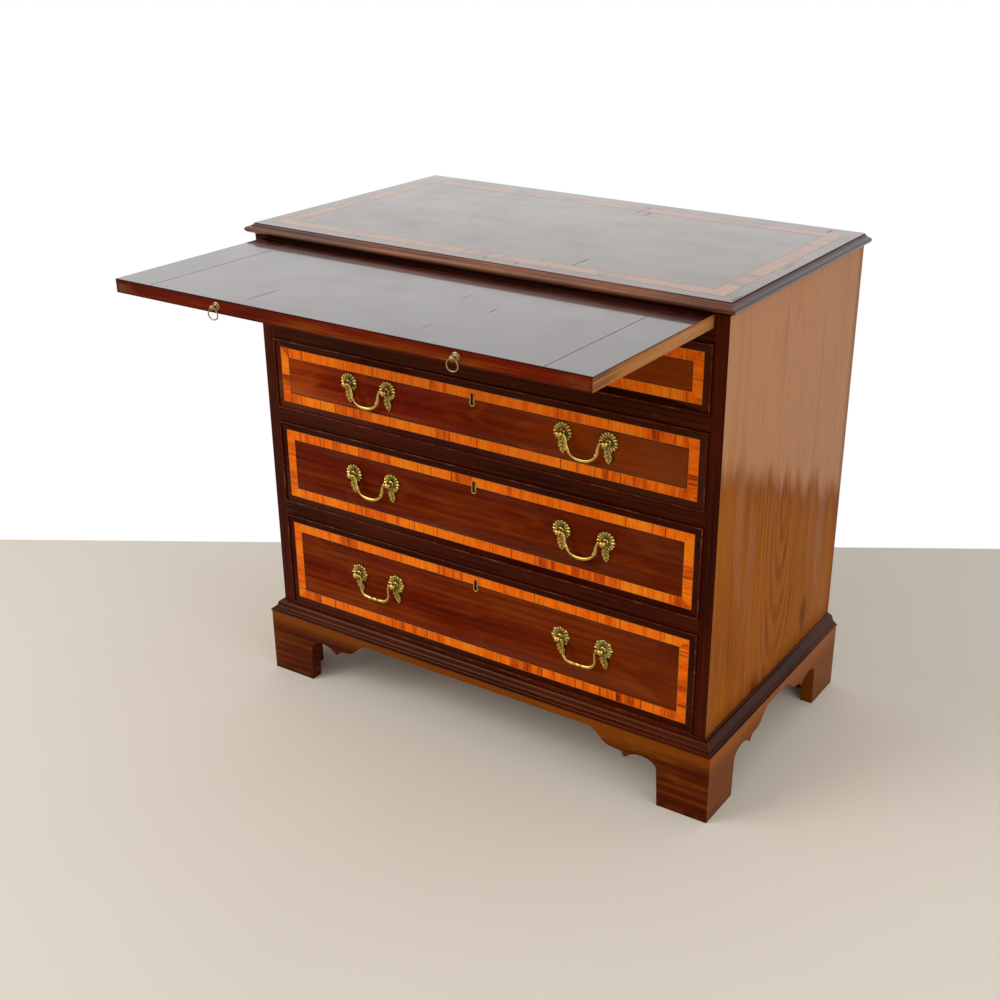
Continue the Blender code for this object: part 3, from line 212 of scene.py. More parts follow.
class Nodes:
    """A material's node tree, built by short calls that return sockets."""

    def __init__(self, name):
        self.material = bpy.data.materials.new(name)
        self.material.use_nodes = True
        self.tree = self.material.node_tree
        self.shader = self.tree.nodes["Principled BSDF"]
        self.object = self.add("ShaderNodeTexCoord").outputs["Object"]

    def add(self, kind, **settings):
        node = self.tree.nodes.new(kind)
        for setting, value in settings.items():
            setattr(node, setting, value)
        return node

    def feed(self, socket, value):
        """Links a socket, or sets its plain value."""
        if isinstance(value, bpy.types.NodeSocket):
            self.tree.links.new(value, socket)
        elif value is not None:
            if socket.type == "RGBA" and len(value) == 3:
                value = (*value, 1.0)
            socket.default_value = value

    def moved(self, scale=(1, 1, 1), offset=(0, 0, 0), turn=(0, 0, 0), source=None):
        """Object coordinates scaled, then turned, then moved."""
        node = self.add("ShaderNodeMapping")
        self.feed(node.inputs["Vector"], source or self.object)
        node.inputs["Scale"].default_value = scale
        node.inputs["Rotation"].default_value = turn
        node.inputs["Location"].default_value = offset
        return node.outputs["Vector"]

    def noise(self, vector, scale=1.0, detail=3.0, roughness=0.5, distortion=0.0):
        node = self.add("ShaderNodeTexNoise")
        self.feed(node.inputs["Vector"], vector)
        node.inputs["Scale"].default_value = scale
        node.inputs["Detail"].default_value = detail
        node.inputs["Roughness"].default_value = roughness
        node.inputs["Distortion"].default_value = distortion
        return node.outputs["Fac"]

    def rings(self, vector, grain, pitch, wander, detail_scale):
        """Year rings round the grain's axis. One ring of the wave texture is 0.314 of its scale wide."""
        node = self.add("ShaderNodeTexWave", wave_type="RINGS", rings_direction=grain, wave_profile="SIN")
        self.feed(node.inputs["Vector"], vector)
        node.inputs["Scale"].default_value = 2 * math.pi / 20 / pitch
        node.inputs["Distortion"].default_value = wander
        node.inputs["Detail"].default_value = 2.0
        node.inputs["Detail Scale"].default_value = detail_scale * pitch
        node.inputs["Detail Roughness"].default_value = 0.5
        return node.outputs["Fac"]

    def math(self, operation, first, second=0.5, third=0.5, clamp=False):
        node = self.add("ShaderNodeMath", operation=operation, use_clamp=clamp)
        for socket, value in zip(node.inputs, (first, second, third)):
            self.feed(socket, value)
        return node.outputs[0]

    def total(self, *terms):
        """The sum of value and weight pairs, each value taken about its middle, around a half."""
        result = 0.5
        for value, weight in terms:
            offset = self.math("MULTIPLY", self.math("SUBTRACT", value, 0.5), weight)
            result = self.math("ADD", offset, result)
        return result

    def span(self, value, low, high, start=0.0, end=1.0):
        """A smooth step from start to end as the value runs from low to high."""
        node = self.add("ShaderNodeMapRange", interpolation_type="SMOOTHSTEP")
        for socket, item in zip(node.inputs, (value, low, high, start, end)):
            self.feed(socket, item)
        return node.outputs[0]

    def ramp(self, value, stops):
        node = self.add("ShaderNodeValToRGB")
        self.feed(node.inputs["Fac"], value)
        elements = node.color_ramp.elements
        while len(elements) < len(stops):
            elements.new(0.5)
        for element, (place, tone) in zip(elements, stops):
            element.position = place
            element.color = (*tone, 1.0)
        return node.outputs["Color"]

    def mix(self, factor, first, second, blend="MIX"):
        node = self.add("ShaderNodeMix", data_type="RGBA", blend_type=blend)
        for index, value in ((0, factor), (6, first), (7, second)):
            self.feed(node.inputs[index], value)
        return node.outputs[2]

    def axes(self):
        """The object coordinate's X, Y and Z."""
        node = self.add("ShaderNodeSeparateXYZ")
        self.feed(node.inputs[0], self.object)
        return node.outputs

    def attribute(self, name):
        return self.add("ShaderNodeAttribute", attribute_name=name).outputs["Fac"]

    def near(self, value, place, half):
        """One where the value lies within half of the place, and zero elsewhere."""
        return self.math("LESS_THAN", self.math("ABSOLUTE", self.math("SUBTRACT", value, place)), half)

    def bump(self, height, distance, strength=1.0, under=None):
        node = self.add("ShaderNodeBump")
        self.feed(node.inputs["Height"], height)
        self.feed(node.inputs["Normal"], under)
        node.inputs["Distance"].default_value = distance
        node.inputs["Strength"].default_value = strength
        return node.outputs["Normal"]

    def close(self, base, roughness, normal=None, **constants):
        """Feeds the shader and returns the finished material."""
        self.feed(self.shader.inputs["Base Color"], base)
        self.feed(self.shader.inputs["Roughness"], roughness)
        self.feed(self.shader.inputs["Normal"], normal)
        for name, value in constants.items():
            self.feed(self.shader.inputs[name.replace("_", " ")], value)
        return self.material


def once(name, build, *details):
    """The material of that name, which is built the first time it is asked for."""
    return bpy.data.materials.get(name) or build(name, *details)


class Growth:
    """A Geometry Nodes tree with named inputs, built by short calls."""

    def __init__(self, name, inputs):
        self.tree = bpy.data.node_groups.new(name, "GeometryNodeTree")
        face = self.tree.interface
        face.new_socket(name="Geometry", in_out="INPUT", socket_type="NodeSocketGeometry")
        for label, kind in inputs:
            face.new_socket(name=label, in_out="INPUT", socket_type="NodeSocket" + kind)
        face.new_socket(name="Geometry", in_out="OUTPUT", socket_type="NodeSocketGeometry")
        self.given = self.add("NodeGroupInput").outputs
        self.result = self.add("NodeGroupOutput").inputs

    def add(self, kind, values=(), **settings):
        """A node whose inputs, by name or number, take the given values or links."""
        node = self.tree.nodes.new(kind)
        for setting, value in settings.items():
            setattr(node, setting, value)
        for key, value in values:
            if isinstance(value, bpy.types.NodeSocket):
                self.tree.links.new(value, node.inputs[key])
            else:
                node.inputs[key].default_value = value
        return node

    def math(self, operation, first, second=0.0):
        return self.add("ShaderNodeMath", ((0, first), (1, second)), operation=operation).outputs[0]

    def store(self, geometry, name, value, domain="POINT"):
        values = (("Geometry", geometry), ("Name", name), ("Value", value))
        node = self.add("GeometryNodeStoreNamedAttribute", values, data_type="FLOAT", domain=domain)
        return node.outputs[0]

    def finish(self, geometry, material):
        """Makes the geometry real, gives it its material and ends the tree."""
        real = self.add("GeometryNodeRealizeInstances", (("Geometry", geometry),)).outputs[0]
        dressed = self.add("GeometryNodeSetMaterial", (("Geometry", real), ("Material", material))).outputs[0]
        self.tree.links.new(dressed, self.result[0])

    def grow(self, name, start, values):
        """The plain object that the tree makes from a starting mesh."""
        source = bpy.data.objects.new(name + "_source", start)
        bpy.context.scene.collection.objects.link(source)
        modifier = source.modifiers.new("growth", "NODES")
        modifier.node_group = self.tree
        for item in self.tree.interface.items_tree:
            if item.item_type == "SOCKET" and item.in_out == "INPUT" and item.name in values:
                modifier[item.identifier] = values[item.name]
        mesh = evaluated(source)
        source.modifiers.remove(modifier)
        bpy.data.objects.remove(source, do_unlink=True)
        return linked(name, mesh)


# The Geometry Nodes trees built so far, by name
GROWTHS = {}


def tree_once(name, build):
    """The Geometry Nodes tree of that name, which is built the first time."""
    if name not in GROWTHS:
        GROWTHS[name] = build(name)
    return GROWTHS[name]


# Meshes


def linked(name, mesh):
    obj = bpy.data.objects.new(name, mesh)
    bpy.context.scene.collection.objects.link(obj)
    return obj


def evaluated(obj):
    """A new mesh of the object with its modifiers applied."""
    bpy.context.view_layer.update()
    depsgraph = bpy.context.evaluated_depsgraph_get()
    return bpy.data.meshes.new_from_object(obj.evaluated_get(depsgraph), depsgraph=depsgraph)


def apply_modifiers(obj):
    mesh = evaluated(obj)
    old = obj.data
    obj.modifiers.clear()
    obj.data = mesh
    bpy.data.meshes.remove(old)
    return obj


def from_bmesh(name, bm, materials, sharp_degrees=40):
    """An object made of a bmesh, which is freed, shaded smooth up to the given edge angle."""
    mesh = bpy.data.meshes.new(name)
    bm.to_mesh(mesh)
    bm.free()
    for material in materials:
        mesh.materials.append(material)
    soften(mesh, sharp_degrees)
    return linked(name, mesh)


def soften(mesh, degrees):
    mesh.shade_smooth()
    mesh.set_sharp_from_angle(angle=math.radians(degrees))


def merged_node(node):
    """A bmesh copy of a CAD node with its points merged and its flats made single faces."""
    bm = bmesh.new()
    bm.from_mesh(frame["nodes"][node].data)
    bmesh.ops.remove_doubles(bm, verts=bm.verts, dist=WELD)
    bmesh.ops.dissolve_limit(bm, angle_limit=FLAT_ANGLE, verts=bm.verts, edges=bm.edges)
    for layer in list(bm.loops.layers.float_vector):
        bm.loops.layers.float_vector.remove(layer)
    return bm


def eased_copy(node, width, materials, worn=None, degrees=30):
    """A copy of a CAD node with its edges eased. Eased edges may take a material of their own."""
    bm = merged_node(node)
    obj = from_bmesh("dressed_" + node, bm, materials)
    bevel = obj.modifiers.new("easing", "BEVEL")
    bevel.width = width
    bevel.segments = 3
    bevel.limit_method = "ANGLE"
    bevel.angle_limit = math.radians(degrees)
    if worn is not None:
        bevel.material = worn
    apply_modifiers(obj)
    soften(obj.data, degrees)
    return keep_flats(obj)


def keep_flats(obj):
    """Large flat faces keep their own normals, and the small ones beside them take up the turn."""
    weighted = obj.modifiers.new("flats", "WEIGHTED_NORMAL")
    weighted.keep_sharp = True
    weighted.weight = 100
    return apply_modifiers(obj)


def settle(piece, node):
    """The piece rides with a CAD node's body and stands for it, and the node is hidden."""
    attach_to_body(piece, NODE_BODY[node])
    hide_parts(node)
    return piece


def attach(piece, body):
    """The piece rides on a body, beside the nodes there."""
    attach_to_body(piece, body)
    return piece


def paint_by_facing(mesh, choices):
    """Gives faces a material by the way they face: choices are pairs of a direction and an index."""
    for face in mesh.polygons:
        for direction, index in choices:
            if face.normal.dot(Vector(direction)) > 0.8:
                face.material_index = index


def paint_ends(mesh):
    """Gives the faces that look to the chest's ends the second material."""
    for face in mesh.polygons:
        face.material_index = int(abs(face.normal.x) > abs(face.normal.y) + HAIR)


def smooth_line(points, steps):
    """Points along a smooth curve through the given ones, each a tuple of any length."""
    ends = [points[0], *points, points[-1]]
    line = []
    for before, start, end, after in zip(ends, ends[1:], ends[2:], ends[3:]):
        for step in range(steps):
            t = step / steps
            weights = (
                -t / 2 + t * t - t**3 / 2,
                1 - 5 * t * t / 2 + 3 * t**3 / 2,
                t / 2 + 2 * t * t - 3 * t**3 / 2,
                -t * t / 2 + t**3 / 2,
            )
            columns = zip(before, start, end, after)
            line.append(tuple(sum(w * v for w, v in zip(weights, column)) for column in columns))
    return line + [tuple(points[-1])]


def stacked(levels):
    """A closed bmesh through like outlines, one over the other, each a list of points."""
    bm = bmesh.new()
    rings = [[bm.verts.new(point) for point in level] for level in levels]
    count = len(rings[0])
    for lower, upper in zip(rings, rings[1:]):
        for index in range(count):
            after = (index + 1) % count
            bm.faces.new((lower[index], lower[after], upper[after], upper[index]))
    bm.faces.new(rings[0])
    bm.faces.new(rings[-1])
    bmesh.ops.recalc_face_normals(bm, faces=bm.faces)
    return bm


def mitred_frame(low, high, section, place):
    """A closed bmesh of four mitred lengths round a rectangle.

    The section lists distances in from the rectangle and heights over the ground. The function
    place turns a point of the flat rectangle and a height into a point of the chest.
    """
    bm = bmesh.new()
    corners = (
        (low[0], low[1], 1, 1), (high[0], low[1], -1, 1), (high[0], high[1], -1, -1), (low[0], high[1], 1, -1)
    )
    rings = []
    for across, along, way_across, way_along in corners:
        ring = [
            place(across + way_across * inset, along + way_along * inset, rise) for inset, rise in section
        ]
        rings.append([bm.verts.new(point) for point in ring])
    for number, ring in enumerate(rings):
        following = rings[(number + 1) % len(rings)]
        for index in range(len(ring)):
            after = (index + 1) % len(ring)
            bm.faces.new((ring[index], ring[after], following[after], following[index]))
    bmesh.ops.recalc_face_normals(bm, faces=bm.faces)
    return bm


# The dressed top lies this much lower, so that its inlay stays within the frame
TOP_EASE = 0.0001


def on_front(across, up, rise):
    """A point on the drawers' face plane, raised out of it."""
    return Vector((across, FRONT - rise, up))


def on_top(across, deep, rise):
    return Vector((across, deep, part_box("top_board")[1].z - TOP_EASE + rise))


# Woods


WARM_GLOSS = (1.0, 0.50, 0.26)
NEUTRAL_GLOSS = (1.0, 1.0, 1.0)
ALONG_GRAIN = 0.22
FIBRE_SCALES = (9.0, 330.0)
FLOW_SCALES = (2.2, 42.0)
CLOUD_SCALES = (2.6, 6.5)
PORE_SCALES = (60.0, 900.0)


def squeezed(grain, along, across):
    """Scales that draw a pattern out along the grain."""
    return tuple(along if axis == grain else across for axis in "XYZ")


def halfway(first, second):
    """The middle of two colours."""
    return tuple((one + other) / 2 for one, other in zip(first, second))


def grain_pattern(n, grain, tones, centre, lean, pitch, figure, streak, mottle):
    """The colour of figured wood, and its fibre pattern for roughness and relief."""
    seed = tuple(10 * part for part in centre)
    heart = n.moved(squeezed(grain, ALONG_GRAIN, 1.0), centre, lean)
    rings = n.rings(heart, grain, pitch, 5.5, 9.0)
    fibre = n.noise(n.moved(squeezed(grain, *FIBRE_SCALES), seed), 1.0, 6.0, 0.62)
    flow = n.noise(n.moved(squeezed(grain, *FLOW_SCALES), seed), 1.0, 3.0, 0.55, 0.6)
    cloud = n.noise(n.moved(squeezed(grain, *CLOUD_SCALES), seed), 1.0, 2.0, 0.5)
    tone = n.total((rings, figure), (fibre, streak), (flow, streak), (cloud, mottle))
    shade = n.ramp(tone, ((0.22, tones[0]), (0.50, tones[1]), (0.80, tones[2])))
    pores = n.noise(n.moved(squeezed(grain, *PORE_SCALES), seed), 1.0, 2.0, 0.5)
    shade = n.mix(n.span(pores, 0.60, 0.72, 0.0, 0.45), shade, tones[0])
    return shade, fibre


def rubbed(n, base, wear, amount):
    """The colour with worn patches."""
    patches = n.noise(n.moved((60.0,) * 3), 1.0, 5.0, 0.65)
    return n.mix(n.span(patches, 0.62 - 0.25 * amount, 0.70, 0.0, 0.85), base, wear)


# How bright each front is beside the others, and how strongly light is painted over its right half as a
# paler, browner tone
FRONT_LEVELS = {1: 1.0, 2: 1.35, 3: 0.78, 4: 0.84}
FRONT_PAINTED_LIGHT = {1: 0.40, 2: 0.65, 3: 0.15, 4: 0.30}
# Depths behind a front's face: past the lip the wood within the half width of the keyhole's middle is
# painted dark as the slot's shade, and past the facing all of it is plain oak
SLOT_LIP = 0.0006
SLOT_HALF_WIDTH = 0.006
FACING_DEPTH = 0.0030


def field_wood(name, drawer):
    """A drawer front: flame mahogany, redder to the left and painted paler to the right as light, with a dark
    border outside the banding.
    """
    woods = bpy.context.scene.chest_woods
    low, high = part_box("drawer_%d_front" % drawer)
    n = Nodes(name)
    x, y, z = n.axes()
    level = FRONT_LEVELS[drawer]
    plain = (woods.field_dark, woods.field_mid, woods.field_light)
    tones = [tuple(part * level for part in tone) for tone in plain]
    centre = (0.23 * drawer, 0.045, -(low.z + high.z) / 2 - 0.03 * drawer)
    lean = (0.02 * drawer, 0.05, 0.03)
    shade, fibre = grain_pattern(n, "X", tones, centre, lean, 0.011, 0.10, 0.60, 0.6)
    flame_place = n.moved((9.0, 1.0, 26.0), (3.1 * drawer, 0.0, 1.7 * drawer), (0.0, 0.35, 0.0))
    flame = n.noise(flame_place, 1.0, 3.0, 0.5, 1.2)
    shade = n.mix(n.span(flame, 0.50, 0.72, 0.0, 0.50), shade, tones[2])
    # Painted light: the right part of the front turns paler and browner
    lightened = n.mix(0.5, woods.field_mid, woods.side_mid)
    shade = n.mix(n.span(x, -0.15, high.x, 0.0, FRONT_PAINTED_LIGHT[drawer]), shade, lightened)
    edge = n.math(
        "MINIMUM",
        n.math("SUBTRACT", high.x, n.math("ABSOLUTE", x)),
        n.math("MINIMUM", n.math("SUBTRACT", z, low.z), n.math("SUBTRACT", high.z, z)),
    )
    border = n.mix(0.72, shade, woods.rail_dark)
    shade = n.mix(n.math("LESS_THAN", edge, bpy.context.scene.chest_inlay.front_inset), shade, border)
    # Painted shade inside the keyhole's slot, past the lip
    inside = n.math("GREATER_THAN", y, FRONT + SLOT_LIP)
    slot = n.math("MULTIPLY", inside, n.near(x, 0.0, SLOT_HALF_WIDTH))
    shade = n.mix(slot, shade, woods.string_dark)
    behind = n.math("GREATER_THAN", y, FRONT + FACING_DEPTH)
    shade = n.mix(behind, shade, n.mix(fibre, woods.oak_dark, woods.oak_light))
    rough = n.span(fibre, 0.3, 0.7, 0.24, 0.40)
    swell = n.noise(n.moved((7.0, 7.0, 16.0)), 1.0, 1.0, 0.4)
    normal = n.bump(fibre, 0.00004, 0.6, n.bump(swell, 0.0004, 0.25))
    return n.close(shade, rough, normal, Specular_IOR_Level=0.06, Specular_Tint=WARM_GLOSS)


def rail_wood(name, grain):
    """Near black rails and stiles with rubbed red places."""
    woods = bpy.context.scene.chest_woods
    n = Nodes(name)
    tones = (woods.rail_dark, woods.rail_mid, woods.foot_mid)
    shade, fibre = grain_pattern(
        n, grain, tones, (0.31, 0.06, 0.17), (0.03, 0.05, 0.02), 0.009, 0.12, 0.6, 0.9
    )
    scuff = n.noise(n.moved(squeezed(grain, 14.0, 110.0), (3.0, 1.0, 4.0)), 1.0, 5.0, 0.7, 0.5)
    shade = n.mix(n.span(scuff, 0.60, 0.74, 0.0, 0.8), shade, woods.rail_scuff)
    rough = n.span(fibre, 0.3, 0.7, 0.20, 0.42)
    normal = n.bump(fibre, 0.00006, 0.6)
    return n.close(shade, rough, normal, Specular_IOR_Level=0.07, Specular_Tint=WARM_GLOSS)


def worn_wood(name, base, wear, amount):
    """An eased edge: dark wood rubbed through to pale in places."""
    n = Nodes(name)
    shade = rubbed(n, base, wear, amount)
    fine = n.noise(n.moved((240.0,) * 3), 1.0, 3.0, 0.6)
    return n.close(
        shade, n.span(fine, 0.3, 0.7, 0.30, 0.6), n.bump(fine, 0.0001, 0.5), Specular_IOR_Level=0.2
    )


def bead_wood(name):
    """The cockbead, dark with a grey-tan line on its crown that is partly rubbed wear and partly a painted
    highlight.
    """
    woods = bpy.context.scene.chest_woods
    n = Nodes(name)
    y = n.axes()[1]
    edge = bpy.context.scene.chest_edges.bead_proud
    # The crown's pale line is partly rubbed wear and partly a painted highlight
    crown = n.span(y, FRONT - edge, FRONT - 0.55 * edge, 1.0, 0.0)
    patches = n.noise(n.moved((34.0, 34.0, 34.0)), 1.0, 5.0, 0.7)
    wear = n.math("MULTIPLY", crown, n.span(patches, 0.46, 0.70, 0.05, 0.75))
    shade = n.mix(wear, woods.field_dark, woods.edge_wear_and_highlight)
    rough = n.span(patches, 0.3, 0.7, 0.14, 0.34)
    return n.close(
        shade, rough, n.bump(patches, 0.0002, 0.4), Specular_IOR_Level=0.14, Specular_Tint=WARM_GLOSS
    )


def top_wood(name, grain, tones, centre, gloss, marks=True):
    """French polished mahogany, faded brown, glassy, with a few fine checks across the board.

    Gloss is the index of refraction of its polish.
    """
    woods = bpy.context.scene.chest_woods
    n = Nodes(name)
    shade, fibre = grain_pattern(n, grain, tones, centre, (0.04, 0.03, 0.02), 0.010, 0.12, 0.6, 0.8)
    if marks:
        check_place = n.moved((95.0, 7.0, 7.0), (2.6, 0.4, 0.0), (0.0, 0.0, 0.06))
        checks = n.noise(check_place, 1.0, 2.0, 0.4, 0.2)
        field = n.noise(n.moved((4.5, 6.0, 4.0), (1.3, 7.1, 0.0)), 1.0, 1.0, 0.5)
        cracks = n.math("MULTIPLY", n.span(checks, 0.685, 0.710), n.span(field, 0.53, 0.60))
        shade = n.mix(n.math("MULTIPLY", cracks, 0.85), shade, woods.string_dark)
        n.feed(n.shader.inputs["Coat Weight"], n.math("SUBTRACT", 1.0, cracks))
    else:
        n.shader.inputs["Coat Weight"].default_value = 1.0
    cloudy = n.noise(n.moved((9.0, 9.0, 9.0), (0.0, 2.0, 0.0)), 1.0, 4.0, 0.6)
    rough = n.span(cloudy, 0.3, 0.7, 0.12, 0.30)
    swell = n.noise(n.moved(squeezed(grain, 3.0, 11.0)), 1.0, 2.0, 0.5)
    normal = n.bump(fibre, 0.00002, 0.5, n.bump(swell, 0.0004, 0.25))
    return n.close(
        shade,
        rough,
        normal,
        Specular_IOR_Level=0.24,
        Coat_Roughness=0.07,
        Coat_IOR=gloss,
        Coat_Normal=n.bump(swell, 0.0004, 0.2),
    )


def slide_edge_wood(name):
    """The slide's front edge: red mahogany between ebonised lines, rubbed at its corners."""
    woods = bpy.context.scene.chest_woods
    low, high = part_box("slide_cleat_right")
    n = Nodes(name)
    x, _, z = n.axes()
    tones = (woods.field_dark, woods.field_mid, woods.foot_light)
    shade, fibre = grain_pattern(n, "X", tones, (0.1, 0.07, -0.75), (0.02, 0.04, 0.0), 0.010, 0.3, 0.8, 1.1)
    patches = n.noise(n.moved((16.0, 30.0, 60.0)), 1.0, 4.0, 0.6)
    end = n.span(n.math("ABSOLUTE", x), high.x - 0.055, high.x - 0.004)
    grey = n.math("MULTIPLY", end, n.span(patches, 0.40, 0.60, 0.0, 0.55))
    shade = n.mix(grey, shade, woods.edge_wear_and_highlight)
    line = bpy.context.scene.chest_inlay.string
    for place, width in ((high.z - 0.0010, line * 0.8), (low.z + 0.0012, line * 0.6)):
        shade = n.mix(n.near(z, place, width), shade, woods.string_dark)
    for inset in (0.0016, 0.0046):
        shade = n.mix(n.near(n.math("ABSOLUTE", x), high.x - inset, line * 0.5), shade, woods.string_dark)
    rough = n.span(fibre, 0.3, 0.7, 0.18, 0.34)
    return n.close(
        shade, rough, n.bump(fibre, 0.00005, 0.5), Specular_IOR_Level=0.07, Specular_Tint=WARM_GLOSS
    )


def slide_end_wood(name):
    """The slide's ends: bare orange-brown long grain, a little rough."""
    woods = bpy.context.scene.chest_woods
    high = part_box("slide_cleat_right")[1]
    n = Nodes(name)
    z = n.axes()[2]
    tones = (woods.side_dark, woods.side_light, halfway(woods.side_light, woods.side_sheen))
    shade, fibre = grain_pattern(n, "Y", tones, (0.2, 0.1, -0.76), (0.02, 0.0, 0.03), 0.009, 0.3, 1.0, 0.9)
    shade = n.mix(n.near(z, high.z, bpy.context.scene.chest_inlay.string), shade, woods.string_dark)
    return n.close(
        shade, n.span(fibre, 0.3, 0.7, 0.38, 0.60), n.bump(fibre, 0.0002, 0.7), Specular_IOR_Level=0.2
    )


# The oval figure of the ends: its height on the board, and the lean of the log that gives it
CATHEDRAL_HEIGHT = 0.45
CATHEDRAL_LEAN = 1.1


def side_wood(name, sign):
    """An end of the case: gold-brown mahogany with a cathedral figure low down, a pale reflection painted
    over its upper part and a dark one along its foot.
    """
    woods = bpy.context.scene.chest_woods
    n = Nodes(name)
    _, y, z = n.axes()
    tones = (woods.side_dark, woods.side_mid, woods.side_light)
    middle = CATHEDRAL_HEIGHT * ALONG_GRAIN * math.sin(CATHEDRAL_LEAN)
    centre = (-sign * HALF_WIDTH * math.cos(CATHEDRAL_LEAN) - middle, -(FRONT + BACK) / 2, 0.0)
    off_middle = n.math("ABSOLUTE", n.math("SUBTRACT", y, (FRONT + BACK) / 2))
    figure = n.span(off_middle, 0.02, 0.14, 0.20, 0.03)
    shade, fibre = grain_pattern(n, "Z", tones, centre, (0.0, CATHEDRAL_LEAN, 0.0), 0.014, figure, 0.45, 0.6)
    streaks = n.noise(n.moved((22.0, 22.0, 1.2)), 1.0, 3.0, 0.6)
    # Painted reflection: above a sloping, wavering line the end is painted pale, with a darker band painted
    # just under the line
    slope = n.math("ADD", n.math("MULTIPLY", y, 0.42), n.math("MULTIPLY", streaks, 0.12))
    level = n.math("ADD", z, slope)
    shade = n.mix(n.span(level, 0.530, 0.600, 0.0, 0.30), shade, woods.side_dark)
    shade = n.mix(n.span(level, 0.580, 0.635, 0.0, 0.72), shade, woods.side_sheen)
    broad = n.noise(n.moved((19.0, 19.0, 1.8), (0.0, 0.4, 0.0)), 1.0, 4.0, 0.65, 0.3)
    shade = n.mix(n.span(broad, 0.54, 0.68, 0.0, 0.35), shade, woods.side_light)
    shade = n.mix(n.span(broad, 0.34, 0.47, 0.45, 0.0), shade, halfway(woods.side_dark, woods.side_sheen))
    # Painted reflection of the base moulding: darker along the foot of the end. The end also turns darker
    # towards its back edge
    dark = n.mix(0.6, shade, woods.side_dark)
    shade = n.mix(n.span(z, 0.135, 0.175, 0.75, 0.0), shade, dark)
    shade = n.mix(n.span(y, BACK - 0.022, BACK - 0.006, 0.0, 0.7), shade, dark)
    flat = n.add("ShaderNodeCombineXYZ")
    n.feed(flat.inputs["X"], y)
    n.feed(flat.inputs["Y"], z)
    knots = n.add("ShaderNodeTexVoronoi", voronoi_dimensions="2D")
    n.feed(knots.inputs["Vector"], n.moved((6.0, 3.0, 1.0), (0.35, 0.21, 0.0), source=flat.outputs[0]))
    knots.inputs["Scale"].default_value = 1.0
    smudge = n.span(n.total((knots.outputs["Distance"], 1.0), (streaks, 0.25)), 0.02, 0.12, 0.5, 0.0)
    chosen = n.math("GREATER_THAN", knots.outputs["Color"], 0.62)
    shade = n.mix(n.math("MULTIPLY", smudge, chosen), shade, woods.foot_dark)
    shade = n.mix(n.span(fibre, 0.30, 0.47, 0.20, 0.0), shade, woods.side_dark)
    rough = n.span(fibre, 0.3, 0.7, 0.24, 0.42)
    swell = n.noise(n.moved((9.0, 9.0, 3.0)), 1.0, 2.0, 0.5)
    normal = n.bump(fibre, 0.00006, 0.6, n.bump(swell, 0.0006, 0.3))
    return n.close(shade, rough, normal, Specular_IOR_Level=0.025, Specular_Tint=WARM_GLOSS)


def foot_wood(name, facing):
    """Bracket feet: a paler strip under the moulding, dark flame figure below, darker in patches towards the
    floor.
    """
    woods = bpy.context.scene.chest_woods
    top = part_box("plinth_front")[1].z
    n = Nodes(name)
    z = n.axes()[2]
    tones = (woods.foot_dark, woods.foot_mid, woods.foot_light)
    grain = "X" if facing == "Y" else "Y"
    shade, fibre = grain_pattern(
        n, grain, tones, (0.17, 0.12, 0.02), (0.05, 0.12, 0.10), 0.013, 0.12, 0.5, 0.8
    )
    flame = n.noise(n.moved((9.0, 9.0, 26.0), (0.0, 0.0, 0.6), (0.35, 0.40, 0.0)), 1.0, 3.0, 0.55, 0.9)
    shade = n.mix(n.span(flame, 0.44, 0.64, 0.0, 0.55), shade, woods.foot_dark)
    strip = n.span(z, top - 0.034, top - 0.008, 0.0, 0.75)
    shade = n.mix(strip, shade, woods.foot_light if facing == "Y" else woods.side_mid)
    if facing == "X":
        shade = n.mix(0.45, shade, woods.side_mid)
    floor_patches = n.noise(n.moved((55.0,) * 3), 1.0, 4.0, 0.6)
    low = n.math("MULTIPLY", n.span(z, 0.0, 0.022, 1.0, 0.0), n.span(floor_patches, 0.35, 0.6))
    shade = n.mix(n.math("MULTIPLY", low, 0.6), shade, woods.rail_dark)
    rough = n.span(fibre, 0.3, 0.7, 0.26, 0.46)
    return n.close(
        shade, rough, n.bump(fibre, 0.00008, 0.6), Specular_IOR_Level=0.08, Specular_Tint=WARM_GLOSS
    )


def moulding_wood(name, grain, tones, scuffed, gloss, tint):
    """Polished mouldings, scuffed here and there, with the level and the tint of their gloss."""
    woods = bpy.context.scene.chest_woods
    n = Nodes(name)
    shade, fibre = grain_pattern(n, grain, tones, (0.3, 0.1, 0.2), (0.0, 0.03, 0.02), 0.010, 0.10, 0.7, 0.9)
    scuff = n.noise(n.moved((60.0, 60.0, 170.0), (1.0, 2.0, 3.0)), 1.0, 5.0, 0.7)
    shade = n.mix(n.span(scuff, 0.60, 0.72, 0.0, scuffed), shade, woods.rail_scuff)
    rough = n.span(fibre, 0.3, 0.7, 0.10, 0.26)
    return n.close(shade, rough, n.bump(fibre, 0.00004, 0.6), Specular_IOR_Level=gloss, Specular_Tint=tint)


